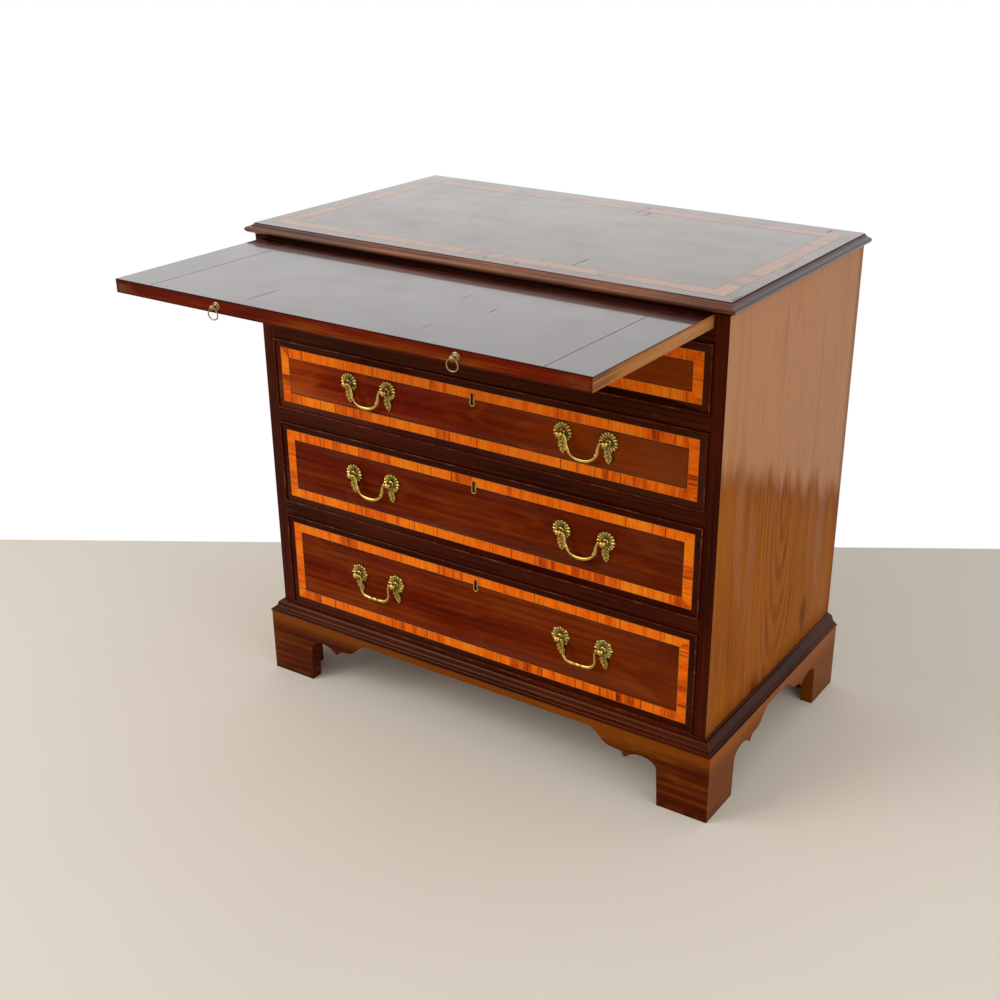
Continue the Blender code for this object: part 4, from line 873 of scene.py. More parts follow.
def band_wood(name, tones, contrast):
    """Crossbanding: short leaves whose grain runs across the band, striped and unlike each other."""
    woods = bpy.context.scene.chest_woods
    n = Nodes(name)
    tone = n.attribute("leaf_tone")
    place = n.add("ShaderNodeCombineXYZ")
    n.feed(place.inputs["X"], n.attribute("along"))
    n.feed(place.inputs["Y"], n.attribute("across"))
    n.feed(place.inputs["Z"], n.math("MULTIPLY", tone, 7.0))
    stripes = n.noise(n.moved((340.0, 16.0, 1.0), source=place.outputs[0]), 1.0, 4.0, 0.6, 0.25)
    broad = n.noise(n.moved((75.0, 7.0, 1.0), source=place.outputs[0]), 1.0, 2.0, 0.5, 0.4)
    fine = n.noise(n.moved((900.0, 30.0, 1.0), source=place.outputs[0]), 1.0, 3.0, 0.6)
    level = n.total((tone, contrast), (stripes, 0.75), (broad, 0.75), (fine, 0.3))
    shade = n.ramp(level, ((0.18, tones[0]), (0.46, tones[1]), (0.86, tones[2])))
    shade = n.mix(n.span(stripes, 0.56, 0.66, 0.0, 0.75), shade, tones[0])
    joint = n.span(n.attribute("joint"), 0.945, 0.985, 0.0, 0.8)
    shade = n.mix(joint, shade, woods.field_dark)
    rough = n.span(fine, 0.3, 0.7, 0.24, 0.40)
    return n, shade, rough, fine


def front_band_wood(name):
    woods = bpy.context.scene.chest_woods
    n, shade, rough, fine = band_wood(name, (woods.band_dark, woods.band_mid, woods.band_light), 0.34)
    return n.close(
        shade, rough, n.bump(fine, 0.00003, 0.5), Specular_IOR_Level=0.10, Specular_Tint=WARM_GLOSS
    )


def top_band_wood(name):
    woods = bpy.context.scene.chest_woods
    tones = (woods.top_mid, woods.top_band, halfway(woods.top_band, woods.string_pale))
    n, shade, rough, fine = band_wood(name, tones, 0.45)
    normal = n.bump(fine, 0.00002, 0.4)
    return n.close(
        shade, rough, normal, Specular_IOR_Level=0.24, Coat_Weight=1.0, Coat_Roughness=0.07, Coat_IOR=1.28
    )


def string_wood(name, tone, polish):
    """A string line. Polish is the weight of the clear coat over it."""
    n = Nodes(name)
    fleck = n.noise(n.moved((130.0,) * 3), 1.0, 3.0, 0.6)
    shade = n.mix(
        n.span(fleck, 0.35, 0.70, 0.0, 0.55), tone, halfway(tone, bpy.context.scene.chest_woods.field_dark)
    )
    rough = n.span(fleck, 0.3, 0.7, 0.25, 0.4)
    normal = n.bump(fleck, 0.00002, 0.4)
    return n.close(
        shade,
        rough,
        normal,
        Specular_IOR_Level=0.06,
        Specular_Tint=WARM_GLOSS,
        Coat_Weight=polish,
        Coat_Roughness=0.07,
        Coat_IOR=1.35,
    )


def lining_wood(name, grain):
    """Dry oak with flecks and grey handling marks."""
    woods = bpy.context.scene.chest_woods
    n = Nodes(name)
    tones = (woods.oak_dark, halfway(woods.oak_dark, woods.oak_light), woods.oak_light)
    shade, fibre = grain_pattern(
        n, grain, tones, (0.21, 0.33, 0.11), (0.02, 0.05, 0.03), 0.011, 0.05, 0.9, 0.7
    )
    grime = n.noise(n.moved((11.0,) * 3), 1.0, 4.0, 0.6)
    shade = n.mix(n.span(grime, 0.52, 0.72, 0.0, 0.5), shade, woods.oak_dark)
    return n.close(
        shade, n.span(fibre, 0.3, 0.7, 0.55, 0.8), n.bump(fibre, 0.00025, 0.8), Specular_IOR_Level=0.3
    )


def pine_wood(name, grain):
    """Rough pine, greyed and stained by age, with knots."""
    woods = bpy.context.scene.chest_woods
    n = Nodes(name)
    tones = (woods.pine_dark, halfway(woods.pine_dark, woods.pine_light), woods.pine_light)
    shade, fibre = grain_pattern(
        n, grain, tones, (0.41, 0.05, 0.23), (0.08, 0.14, 0.10), 0.023, 0.09, 0.9, 0.9
    )
    stain = n.noise(n.moved((5.0, 5.0, 8.0), (2.0, 0.0, 1.0)), 1.0, 5.0, 0.65, 0.6)
    shade = n.mix(n.span(stain, 0.48, 0.70, 0.0, 0.6), shade, halfway(woods.pine_dark, woods.string_dark))
    knots = n.add("ShaderNodeTexVoronoi")
    n.feed(knots.inputs["Vector"], n.moved((4.2, 1.0, 9.5), (0.3, 0.0, 0.4)))
    knots.inputs["Scale"].default_value = 1.0
    shade = n.mix(n.span(knots.outputs["Distance"], 0.05, 0.11, 0.85, 0.0), shade, woods.foot_mid)
    return n.close(
        shade, n.span(fibre, 0.3, 0.7, 0.6, 0.9), n.bump(fibre, 0.0005, 0.9), Specular_IOR_Level=0.25
    )


# Metals


def cast_metal(name, tone):
    """Cast brass: bright where hands and cloths reach, olive brown in the hollows."""
    metals = bpy.context.scene.chest_metals
    n = Nodes(name)
    relief = n.attribute("relief")
    mottle = n.noise(n.moved((260.0,) * 3), 1.0, 4.0, 0.6)
    level = n.math("ADD", relief, n.math("MULTIPLY", n.math("SUBTRACT", mottle, 0.5), 1.1))
    clean = n.span(level, 0.08, 0.66)
    shade = n.mix(clean, metals.patina, tone)
    rough = n.span(level, 0.1, 0.8, 0.52, 0.22)
    n.feed(n.shader.inputs["Metallic"], n.span(level, 0.0, 0.5, 0.65, 1.0))
    return n.close(shade, rough, n.bump(mottle, 0.00025, 0.5))


def brass():
    return once("cast_brass", cast_metal, tuple(bpy.context.scene.chest_metals.brass))


def pull_metal():
    return once("pull_metal", cast_metal, tuple(bpy.context.scene.chest_metals.pull))


def steel_metal(name):
    metals = bpy.context.scene.chest_metals
    n = Nodes(name)
    rust = n.noise(n.moved((180.0,) * 3), 1.0, 5.0, 0.65)
    shade = n.mix(n.span(rust, 0.52, 0.68, 0.0, 0.8), metals.steel, bpy.context.scene.chest_woods.foot_mid)
    n.feed(n.shader.inputs["Metallic"], n.span(rust, 0.5, 0.7, 1.0, 0.3))
    return n.close(shade, n.span(rust, 0.3, 0.7, 0.3, 0.6), n.bump(rust, 0.0002, 0.5))


# Castings


class Casting:
    """Closed shells of one casting. Each point carries its relief: 0 in a hollow, 1 on a height."""

    def __init__(self, middle, turn=None):
        self.bm = bmesh.new()
        self.relief = self.bm.verts.layers.float.new("relief")
        self.middle = Vector(middle)
        self.turn = turn or Matrix.Identity(3)

    def shell(self, rings):
        """A closed skin through rings of points, each a place and its relief."""
        rows = []
        for ring in rings:
            row = []
            for place, relief in ring:
                vertex = self.bm.verts.new(self.middle + self.turn @ Vector(place))
                vertex[self.relief] = relief
                row.append(vertex)
            rows.append(row)
        faces = []
        for row, following in zip(rows, rows[1:]):
            for index in range(len(row)):
                after = (index + 1) % len(row)
                faces.append(self.bm.faces.new((row[index], row[after], following[after], following[index])))
        faces.append(self.bm.faces.new(rows[0]))
        faces.append(self.bm.faces.new(rows[-1]))
        verts = [vertex for row in rows for vertex in row]
        bmesh.ops.remove_doubles(self.bm, verts=verts, dist=HAIR / 4)
        bmesh.ops.recalc_face_normals(self.bm, faces=[face for face in faces if face.is_valid])

    def turned(self, profile, segments=28, relief=0.9):
        """A turned shell about the Y axis: its profile lists radius, distance out and relief."""
        rings = []
        for radius, out, *given in profile:
            height = given[0] if given else relief
            ring = []
            for step in range(segments):
                angle = 2 * math.pi * step / segments
                ring.append(((radius * math.cos(angle), -out, radius * math.sin(angle)), height))
            rings.append(ring)
        self.shell(rings)

    def finish(self, name, material):
        return from_bmesh(name, self.bm, [material], 50)


def lobe(angle, count):
    """The rounded lobes of a rim: 1 on a lobe's middle, 0 in the notch between two."""
    return abs(math.cos(count * angle / 2)) ** 0.6


def pleat(place):
    """A sharp fold: 1 on the crest and 0 in the furrow, once in every whole number."""
    return 1 - abs(2 * (place % 1.0) - 1)


# A rosette's rings, as shares of its radius and height, with the relief of each
ROSETTE_RING_SHARES = (
    (0.16, 0.80, 0.9),
    (0.28, 0.66, 0.4),
    (0.38, 0.52, 0.2),
    (0.50, 0.60, 0.5),
    (0.64, 0.78, 0.8),
    (0.78, 0.94, 1.0),
    (0.89, 1.00, 1.0),
    (0.96, 0.80, 0.9),
    (1.00, 0.45, 0.5),
)
ROSETTE_SEGMENTS = 160
SHELL_RIBS = 16
FLOWER_PETALS = 8
RIM_SCALLOP = 0.085
PETAL_SCALLOP = 0.14


def rosette(casting, radius, seat, plain):
    """A round fan of pleats, scalloped at its rim."""
    brass_sizes = bpy.context.scene.chest_brass
    petals = FLOWER_PETALS if plain else SHELL_RIBS
    scallop = PETAL_SCALLOP if plain else RIM_SCALLOP
    angles = [2 * math.pi * step / ROSETTE_SEGMENTS for step in range(ROSETTE_SEGMENTS)]

    def ring(reach, out_at, level_at):
        points = []
        for angle in angles:
            across = radius * reach * (1 - scallop * (1 - lobe(angle, petals)) * reach)
            points.append(
                ((across * math.cos(angle), -out_at(angle), across * math.sin(angle)), level_at(angle))
            )
        return points

    rings = [[((0.0, -seat, 0.0), 0.0)] * ROSETTE_SEGMENTS]
    for reach in (0.5, 1.0):
        rings.append(ring(reach, lambda angle: seat, lambda angle: 0.1))
    for reach, height, level in reversed(ROSETTE_RING_SHARES):

        def fold(angle):
            return pleat(SHELL_RIBS * angle / (2 * math.pi) + 0.5)

        def out_at(angle):
            body = brass_sizes.rim + (brass_sizes.dish - brass_sizes.rim) * height
            return seat + max(body - brass_sizes.rib * (1 - fold(angle)) * (0.25 + 0.75 * reach), 0.0004)

        rings.append(ring(reach, out_at, lambda angle: level * (0.05 + 0.95 * fold(angle))))
    rings.append([((0.0, -seat - brass_sizes.dish * 0.8, 0.0), 0.9)] * ROSETTE_SEGMENTS)
    casting.shell(rings)


LEAF_ROWS = 48
LEAF_HALF_COLUMNS = 8
LEAF_LOBES = 3.5


def hanging_leaf(casting, top, leaf_length, width, seat, lean):
    """A cupped leaf with lobed edges, slanting furrows and a sunk midrib, its top lifted off the front."""
    brass_sizes = bpy.context.scene.chest_brass
    rings = []
    for row in range(LEAF_ROWS + 1):
        down_share = row / LEAF_ROWS
        swell = math.sin(math.pi * (0.20 + 0.78 * down_share)) ** 0.8
        saw = (LEAF_LOBES * down_share) % 1.0
        half = width / 2 * swell * (0.76 + 0.24 * saw)
        down = top - down_share * leaf_length
        lift = brass_sizes.leaf_lift * (1 - down_share) ** 1.4
        front = []
        back = []
        for column in range(-LEAF_HALF_COLUMNS, LEAF_HALF_COLUMNS + 1):
            u = column / LEAF_HALF_COLUMNS
            furrow = pleat(LEAF_LOBES * down_share - 0.7 * abs(u) + 0.35)
            midrib = math.exp(-((u / 0.15) ** 2))
            rise = brass_sizes.leaf_rise * (0.55 + 0.45 * abs(u) ** 1.5) - brass_sizes.vein * (1 - furrow)
            rise = max(rise - 0.8 * brass_sizes.vein * midrib, 0.0004)
            across = u * half + lean * down_share
            level = (0.25 + 0.75 * furrow) * (1 - 0.8 * midrib) * (0.75 + 0.25 * abs(u))
            front.append(((across, -seat - lift - rise, down), level))
            back.append(((across, -seat - 0.5 * lift, down), 0.0))
        rings.append(front + back[::-1])
    casting.shell(rings)


BALL_STEPS = 14


def ball_points(radius, centre, neck_radius):
    """A ball from its outer pole to its neck, as radius, distance out and relief."""
    points = []
    last = math.pi - math.asin(neck_radius / radius)
    for step in range(BALL_STEPS + 1):
        angle = last * step / BALL_STEPS
        relief = 1.0 - 0.7 * (step / BALL_STEPS) ** 3
        points.append((radius * math.sin(angle), centre + radius * math.cos(angle), relief))
    return points


# A handle post's ball and neck, its seat on the front, and the leaf that hangs below its rosette
BALL_RADIUS = 0.0060
BALL_EASE = 0.0001
NECK_RADIUS = 0.0023
POST_SEAT = 0.0003
ROSETTE_SHARE = 0.99
LEAF_LENGTH = 0.0215
LEAF_WIDTH = 0.0150
SHELL_LEAN = 0.0010
PLAIN_LEAN = 0.0045
# The turned collar between ball and rosette, and the nut behind the front, as radius, distance and relief.
# The collar's distances are out from the front, and the nut's are from its end.
COLLAR_PROFILE = (
    (0.0021, 0.0052, 0.2),
    (0.0030, 0.0048, 0.3),
    (0.0047, 0.0042, 0.8),
    (0.0050, 0.0036, 0.8),
    (0.0042, 0.0030, 0.2),
    (0.0040, 0.0012, 0.1),
    (0.0022, 0.0010, 0.1),
)
NUT_PROFILE = (
    (0.0022, 0.0036, 0.4),
    (0.0046, 0.0034, 0.6),
    (0.0050, 0.0028, 0.8),
    (0.0050, 0.0008, 0.8),
    (0.0044, 0.0, 0.7),
    (0.0, 0.0, 0.5),
)


def handle_post(number, drawer, plain):
    """One post with its rosette, leaf and nut, in the place of its CAD node."""
    node = "drawer_%d_post_%d" % (drawer, number)
    low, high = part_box(node)
    rosette_radius = (high.x - low.x) / 2
    middle = Vector(((low.x + high.x) / 2, FRONT, high.z - rosette_radius))
    pivot = FRONT - low.y - BALL_RADIUS
    nut_end = high.y - FRONT
    casting = Casting(middle)
    rosette(casting, rosette_radius * ROSETTE_SHARE, POST_SEAT, plain)
    leaf_top = low.z - middle.z + LEAF_LENGTH
    hanging_leaf(casting, leaf_top, LEAF_LENGTH, LEAF_WIDTH, POST_SEAT, PLAIN_LEAN if plain else SHELL_LEAN)
    profile = ball_points(BALL_RADIUS - BALL_EASE, pivot, NECK_RADIUS)
    profile += COLLAR_PROFILE
    profile += [(radius, -nut_end + out, relief) for radius, out, relief in NUT_PROFILE]
    casting.turned(profile)
    return settle(casting.finish("dressed_" + node, brass()), node)


# Wires of varying thickness, grown along a line


def wire_tree(name):
    """Gives a line of points a round body. Each point's girth is an attribute of the line."""
    g = Growth(name, (("Sides", "Int"), ("Material", "Material")))
    line = g.add("GeometryNodeMeshToCurve", (("Mesh", g.given["Geometry"]),)).outputs[0]
    circle = g.add(
        "GeometryNodeCurvePrimitiveCircle", (("Resolution", g.given["Sides"]), (4, 1.0))
    ).outputs[0]
    girth = g.add("GeometryNodeInputNamedAttribute", (("Name", "girth"),), data_type="FLOAT").outputs[0]
    values = (("Curve", line), ("Profile Curve", circle), ("Scale", girth), ("Fill Caps", True))
    body = g.add("GeometryNodeCurveToMesh", values).outputs[0]
    welded = g.add("GeometryNodeMergeByDistance", (("Geometry", body), ("Distance", HAIR / 4))).outputs[0]
    g.finish(welded, g.given["Material"])
    return g


WIRE_SIDES = 16


def grow_wire(name, points, girths, reliefs, material, closed=False):
    """A wire through points with a radius and a relief at each."""
    mesh = bpy.data.meshes.new(name + "_line")
    edges = [(index, index + 1) for index in range(len(points) - 1)]
    if closed:
        edges.append((len(points) - 1, 0))
    mesh.from_pydata([tuple(point) for point in points], edges, [])
    for label, numbers in (("girth", girths), ("relief", reliefs)):
        mesh.attributes.new(label, "FLOAT", "POINT").data.foreach_set("value", numbers)
    values = {"Sides": WIRE_SIDES, "Material": material}
    piece = tree_once("wire", wire_tree).grow(name, mesh, values)
    bm = bmesh.new()
    bm.from_mesh(piece.data)
    bmesh.ops.recalc_face_normals(bm, faces=bm.faces)
    bm.to_mesh(piece.data)
    bm.free()
    soften(piece.data, 55)
    return piece


def along_line(points):
    """Each point's share of the whole length."""
    run = [0.0]
    for first, second in zip(points, points[1:]):
        run.append(run[-1] + (Vector(second) - Vector(first)).length)
    return [distance / run[-1] for distance in run]


def read_off(stations, place):
    """The value at a place, eased between stations that list a place and a value."""
    for (start, first), (end, second) in zip(stations, stations[1:]):
        if place <= end:
            t = (place - start) / (end - start) if end > start else 1.0
            t = min(max(t, 0.0), 1.0)
            return first + (second - first) * (3 * t * t - 2 * t**3)
    return stations[-1][1]


# The bails' lines, as shares of their reach and drop, and their girths from pin to middle, as shares
# of the half length and radii in thousandths of a metre
SWAN_SHARES = (
    (1.0, 0.0), (0.965, 0.03), (0.90, 0.13), (0.85, 0.30), (0.83, 0.46), (0.78, 0.60), (0.715, 0.715)
)
SWAN_BOW_SHARES = ((0.60, 0.83), (0.44, 0.92), (0.24, 0.98), (0.0, 1.0))
PLAIN_SHARES = (
    (1.0, 0.0), (0.965, 0.02), (0.93, 0.10), (0.90, 0.25), (0.91, 0.42), (0.92, 0.60), (0.87, 0.76)
)
PLAIN_BOW_SHARES = ((0.74, 0.90), (0.56, 0.97), (0.30, 1.0), (0.0, 1.0))
SWAN_GIRTHS = (
    (0.00, 1.5), (0.070, 1.5), (0.080, 2.7), (0.100, 2.9), (0.130, 2.3),
    (0.20, 2.2), (0.30, 2.6), (0.40, 3.0), (0.45, 3.2), (0.480, 3.7),
    (0.500, 3.75), (0.508, 2.9), (0.530, 2.4), (0.60, 2.4), (0.75, 2.8),
    (0.90, 3.3), (1.00, 3.4),
)
PLAIN_GIRTHS = (
    (0.00, 1.5), (0.070, 1.5), (0.080, 2.6), (0.100, 2.7), (0.130, 1.9),
    (0.35, 1.9), (0.50, 2.2), (0.60, 2.9), (0.70, 3.3), (0.85, 3.3),
    (0.893, 3.0), (0.905, 2.2), (0.920, 2.2), (0.932, 3.3), (0.96, 3.4),
    (1.00, 3.4),
)
MILLI = 0.001
# The bow's radius at its middle, the straight end of each pin, and the pin's whole length
BOW_RADIUS = 3.4 * MILLI
PIN_END = 0.0028
PIN_LENGTH = 0.0057


def joint_place(name):
    """A hinge's place in the frame."""
    joint = next(item for item in frame["joints"] if item["name"] == name)
    return Vector(joint["pos_m"])


def bail(drawer, word, plain):
    """One bail with its pins, as a casting that swells, necks and flares along its line."""
    node = "drawer_%d_bail_%s" % (drawer, word)
    low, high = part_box(node)
    half_pin = (high.x - low.x) / 2
    pivot = joint_place(node + "_swing")
    middle = Vector(((low.x + high.x) / 2, pivot.y, 0.0))
    drop = pivot.z - low.z - BOW_RADIUS
    reach = half_pin - PIN_LENGTH
    shares = PLAIN_SHARES + PLAIN_BOW_SHARES if plain else SWAN_SHARES + SWAN_BOW_SHARES
    half = [(half_pin, 0.0), (half_pin - PIN_END, 0.0)]
    half += [(across * reach, -down * drop) for across, down in shares]
    line = smooth_line(half, 7)
    places = along_line([(across, 0.0, up) for across, up in line])
    stations = PLAIN_GIRTHS if plain else SWAN_GIRTHS
    girths = [read_off(stations, place) * MILLI for place in places]
    widest = max(girths)
    reliefs = [min(1.0, 0.25 + 0.75 * (girth / widest) ** 1.5) for girth in girths]
    right = [middle + Vector((across, 0.0, pivot.z + up)) for across, up in line]
    left = [Vector((2 * middle.x - point.x, point.y, point.z)) for point in right[:-1]]
    points = right + left[::-1]
    girths += girths[:-1][::-1]
    reliefs += reliefs[:-1][::-1]
    return settle(grow_wire("dressed_" + node, points, girths, reliefs, brass()), node)


RING_STEPS = 64
RING_RELIEF = 0.7


def drop_ring(word):
    """A pear-shaped ring that hangs through the ball of its pull."""
    node = "slide_ring_" + word
    low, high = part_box(node)
    pivot = joint_place(node + "_swing")
    girth = (high.y - low.y) / 2
    radius = (pivot.z - low.z - girth) / 2
    points = []
    for step in range(RING_STEPS):
        angle = 2 * math.pi * step / RING_STEPS
        across = radius * math.sin(angle) * (1 - 0.16 * math.cos(angle))
        points.append(pivot + Vector((across, 0.0, -radius + radius * math.cos(angle))))
    girths = [girth * (0.80 - 0.12 * math.cos(2 * math.pi * step / RING_STEPS)) for step in range(RING_STEPS)]
    reliefs = [RING_RELIEF] * RING_STEPS
    return settle(grow_wire("dressed_" + node, points, girths, reliefs, pull_metal(), True), node)


# The pull's shank, and its turned plate as radius, distance out from the slide and relief
PULL_SHANK = 0.0017
PULL_PROFILE = (
    (PULL_SHANK, 0.0034, 0.2),
    (0.0026, 0.0029, 0.5),
    (0.0034, 0.0024, 0.9),
    (0.0036, 0.0019, 0.3),
    (0.0050, 0.0016, 0.4),
    (0.0058, 0.0013, 0.9),
    (0.0062, 0.0008, 0.9),
    (0.0061, 0.0003, 0.4),
    (PULL_SHANK, 0.0003, 0.1),
)


def slide_pull(word):
    """The small turned plate and ball that carry a drop ring."""
    node = "slide_pull_" + word
    low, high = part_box(node)
    pivot = joint_place("slide_ring_%s_swing" % word)
    ball = pivot.y - low.y
    middle = Vector((pivot.x, SLIDE_FRONT, pivot.z))
    centre = SLIDE_FRONT - pivot.y
    shank = high.y - SLIDE_FRONT
    casting = Casting(middle)
    profile = ball_points(ball, centre, PULL_SHANK)
    profile += PULL_PROFILE
    profile += [(PULL_SHANK, -shank, 0.2), (0.0, -shank, 0.2)]
    casting.turned(profile)
    return settle(casting.finish("dressed_" + node, pull_metal()), node)


# Inlay


def crossband_tree(name):
    """A flat frame of crossbanding: four mitred runs of leaves of uneven length."""
    inputs = (("Width", "Float"), ("Height", "Float"), ("Band", "Float"), ("Thickness", "Float"))
    inputs += (("Leaf", "Float"), ("Seed", "Int"), ("Material", "Material"))
    g = Growth(name, inputs)
    runs = []
    for number in range(4):
        run_length, depth = ("Width", "Height") if number % 2 == 0 else ("Height", "Width")
        runs.append(crossband_run(g, number, g.given[run_length], g.given[depth]))
    joined = g.add("GeometryNodeJoinGeometry")
    for run in runs:
        g.tree.links.new(run, joined.inputs[0])
    g.finish(joined.outputs[0], g.given["Material"])
    return g


def crossband_run(g, number, run_length, depth):
    """One run, built along X about the middle and then turned and moved to its side.

    Every other column of its grid is a joint between leaves, and the ones between are their middles.
    """
    band = g.given["Band"]
    half = g.math("DIVIDE", run_length, 2.0)
    leaves = g.math("ROUND", g.math("DIVIDE", run_length, g.given["Leaf"]))
    pitch = g.math("DIVIDE", run_length, g.math("MULTIPLY", leaves, 2.0))
    count = g.math("ADD", g.math("MULTIPLY", leaves, 2.0), 1.0)
    values = (("Size X", run_length), ("Size Y", band), ("Vertices X", count), ("Vertices Y", 2))
    grid = g.add("GeometryNodeMeshGrid", values).outputs["Mesh"]
    place = g.add("ShaderNodeSeparateXYZ", ((0, g.add("GeometryNodeInputPosition").outputs[0]),)).outputs
    column = g.math("ROUND", g.math("DIVIDE", g.math("ADD", place[0], half), pitch))
    seed = g.math("ADD", g.given["Seed"], 11.0 * number)
    at_joint = g.math("SUBTRACT", 1.0, g.math("MODULO", column, 2.0))
    shift = g.math("MULTIPLY", random_value(g, -0.75, 0.75, column, seed), at_joint)
    inner = g.math(
        "LESS_THAN", g.math("ABSOLUTE", place[0]), g.math("SUBTRACT", half, g.math("DIVIDE", pitch, 2.0))
    )
    moved = g.math("ADD", place[0], g.math("MULTIPLY", g.math("MULTIPLY", shift, pitch), inner))
    room = g.math("SUBTRACT", half, g.math("ADD", place[1], g.math("DIVIDE", band, 2.0)))
    kept = g.math("MAXIMUM", g.math("MINIMUM", moved, room), g.math("MULTIPLY", room, -1.0))
    target = g.add("ShaderNodeCombineXYZ", ((0, kept), (1, place[1]))).outputs[0]
    laid = g.add("GeometryNodeSetPosition", (("Geometry", grid), ("Position", target))).outputs[0]
    chance = random_value(g, 0.0, 1.0, column, g.math("ADD", seed, 5.0))
    laid = g.store(laid, "joint", g.math("MULTIPLY", g.math("GREATER_THAN", chance, 0.35), at_joint))
    leaf = g.math("FLOOR", g.math("DIVIDE", g.add("GeometryNodeInputIndex").outputs[0], 2.0))
    laid = g.store(laid, "leaf_tone", random_value(g, 0.0, 1.0, leaf, g.math("ADD", seed, 3.0)), "FACE")
    here = g.add("ShaderNodeSeparateXYZ", ((0, g.add("GeometryNodeInputPosition").outputs[0]),)).outputs
    laid = g.store(laid, "along", g.math("ADD", here[0], 1.3 * number))
    laid = g.store(laid, "across", here[1])
    raised = g.add(
        "GeometryNodeExtrudeMesh",
        (("Mesh", laid), ("Offset Scale", g.given["Thickness"]), ("Individual", False)),
    )
    under = g.add("GeometryNodeFlipFaces", (("Mesh", laid),)).outputs[0]
    both = g.add("GeometryNodeJoinGeometry")
    g.tree.links.new(raised.outputs["Mesh"], both.inputs[0])
    g.tree.links.new(under, both.inputs[0])
    solid = g.add(
        "GeometryNodeMergeByDistance", (("Geometry", both.outputs[0]), ("Distance", HAIR / 2))
    ).outputs[0]
    side = g.math("SUBTRACT", g.math("DIVIDE", band, 2.0), g.math("DIVIDE", depth, 2.0))
    offset = g.add("ShaderNodeCombineXYZ", ((1, side),)).outputs[0]
    shifted = g.add("GeometryNodeTransform", (("Geometry", solid), ("Translation", offset))).outputs[0]
    turn = (0.0, 0.0, number * math.pi / 2)
    return g.add("GeometryNodeTransform", (("Geometry", shifted), ("Rotation", turn))).outputs[0]


def random_value(g, low, high, key, seed):
    node = g.add("FunctionNodeRandomValue", ((2, low), (3, high), (7, key), (8, seed)), data_type="FLOAT")
    return node.outputs[1]


def crossbanding(name, low, high, turn, ground, band, material, seed):
    """A frame of crossbanding between two corners, laid on the ground by a turn and a place."""
    inlay = bpy.context.scene.chest_inlay
    values = {
        "Width": high[0] - low[0],
        "Height": high[1] - low[1],
        "Band": band,
        "Thickness": inlay.rise + inlay.sink,
        "Leaf": inlay.top_leaf if name.startswith("top") else inlay.leaf,
        "Seed": seed,
        "Material": material,
    }
    piece = tree_once("crossband", crossband_tree).grow(name, bpy.data.meshes.new(name + "_start"), values)
    piece.data.transform(Matrix.Translation(ground) @ turn.to_4x4())
    return piece


def string_lines(name, low, high, inset, place, material):
    """A thin mitred line of inlay round a rectangle, inset from it."""
    inlay = bpy.context.scene.chest_inlay
    top = inlay.rise * 1.2
    section = (
        (inset, -inlay.sink), (inset + inlay.string, -inlay.sink), (inset + inlay.string, top), (inset, top)
    )
    return from_bmesh(name, mitred_frame(low, high, section, place), [material], 30)


def join_pieces(name, pieces):
    """One object made of several, which are removed."""
    bm = bmesh.new()
    materials = []
    for piece in pieces:
        first = len(bm.faces)
        bm.from_mesh(piece.data)
        bm.faces.ensure_lookup_table()
        for face in bm.faces[first:]:
            face.material_index += len(materials)
        materials += list(piece.data.materials)
    for piece in pieces:
        bpy.data.objects.remove(piece, do_unlink=True)
    return from_bmesh(name, bm, materials, 30)


def inlaid_frame(name, low, high, inset, band, place, turn, ground, band_material, seed, cut=None):
    """Crossbanding between a dark and a pale string on each side, all cut by the given function."""
    inlay = bpy.context.scene.chest_inlay
    woods = bpy.context.scene.chest_woods
    polish = 1.0 if name == "top" else 0.0
    pale = once("pale_string_%d" % polish, string_wood, tuple(woods.string_pale), polish)
    dark = once("dark_string_%d" % polish, string_wood, tuple(woods.string_dark), polish)
    line = inlay.string
    pieces = []
    inner = inset + 2 * line + band
    for offset, material in ((inset, dark), (inset + line, pale), (inner, pale), (inner + line, dark)):
        piece = string_lines(name + "_string", low, high, offset, place, material)
        pieces.append(cut(piece) if cut else piece)
    start = inset + 2 * line
    banded_low = (low[0] + start, low[1] + start)
    banded_high = (high[0] - start, high[1] - start)
    strings = join_pieces(name + "_strings", pieces)
    banding = crossbanding(
        name + "_banding", banded_low, banded_high, turn, ground, band, band_material, seed
    )
    return strings, cut(banding) if cut else banding


# Operators, one for each group of pieces


# The rails' mahogany reaches this far in, and the rest of each dust frame is pine
RAIL_FACING = 0.004


class CHEST_OT_case(Operator):
    """Dress the ends, rails, bottom and back of the case"""

    bl_idname = "chest.case"
    bl_label = "Case"

    def execute(self, context):
        woods = context.scene.chest_woods
        edges = context.scene.chest_edges
        rail = once("rail_mahogany", rail_wood, "X")
        stile = once("stile_mahogany", rail_wood, "Z")
        worn = once("worn_edge", worn_wood, tuple(woods.rail_mid), tuple(woods.rail_scuff), 0.6)
        carcass_wood = once("runner_pine", pine_wood, "Y")
        for sign, word in SIGNS:
            face = once("end_mahogany_" + word, side_wood, sign)
            obj = eased_copy("side_" + word, edges.board, [face, stile, worn, carcass_wood], worn=2)
            paint_by_facing(obj.data, (((0, -1, 0), 1), ((-sign, 0, 0), 3)))
            settle(obj, "side_" + word)
        for number in DRAWERS:
            node = "dust_frame_%d" % number
            obj = eased_copy(node, edges.board * 0.5, [carcass_wood, rail])
            for polygon in obj.data.polygons:
                if polygon.center.y < FRONT + RAIL_FACING:
                    polygon.material_index = 1
            settle(obj, node)
        for node in ("bottom_board", "back_panel"):
            settle(eased_copy(node, edges.board * 0.6, [once("pine_" + node, pine_wood, "X")]), node)
        back_nails()
        return {"FINISHED"}


NAILS_PER_ROW = 12
NAIL_INSET = 0.006
NAIL_RADIUS = 0.0022
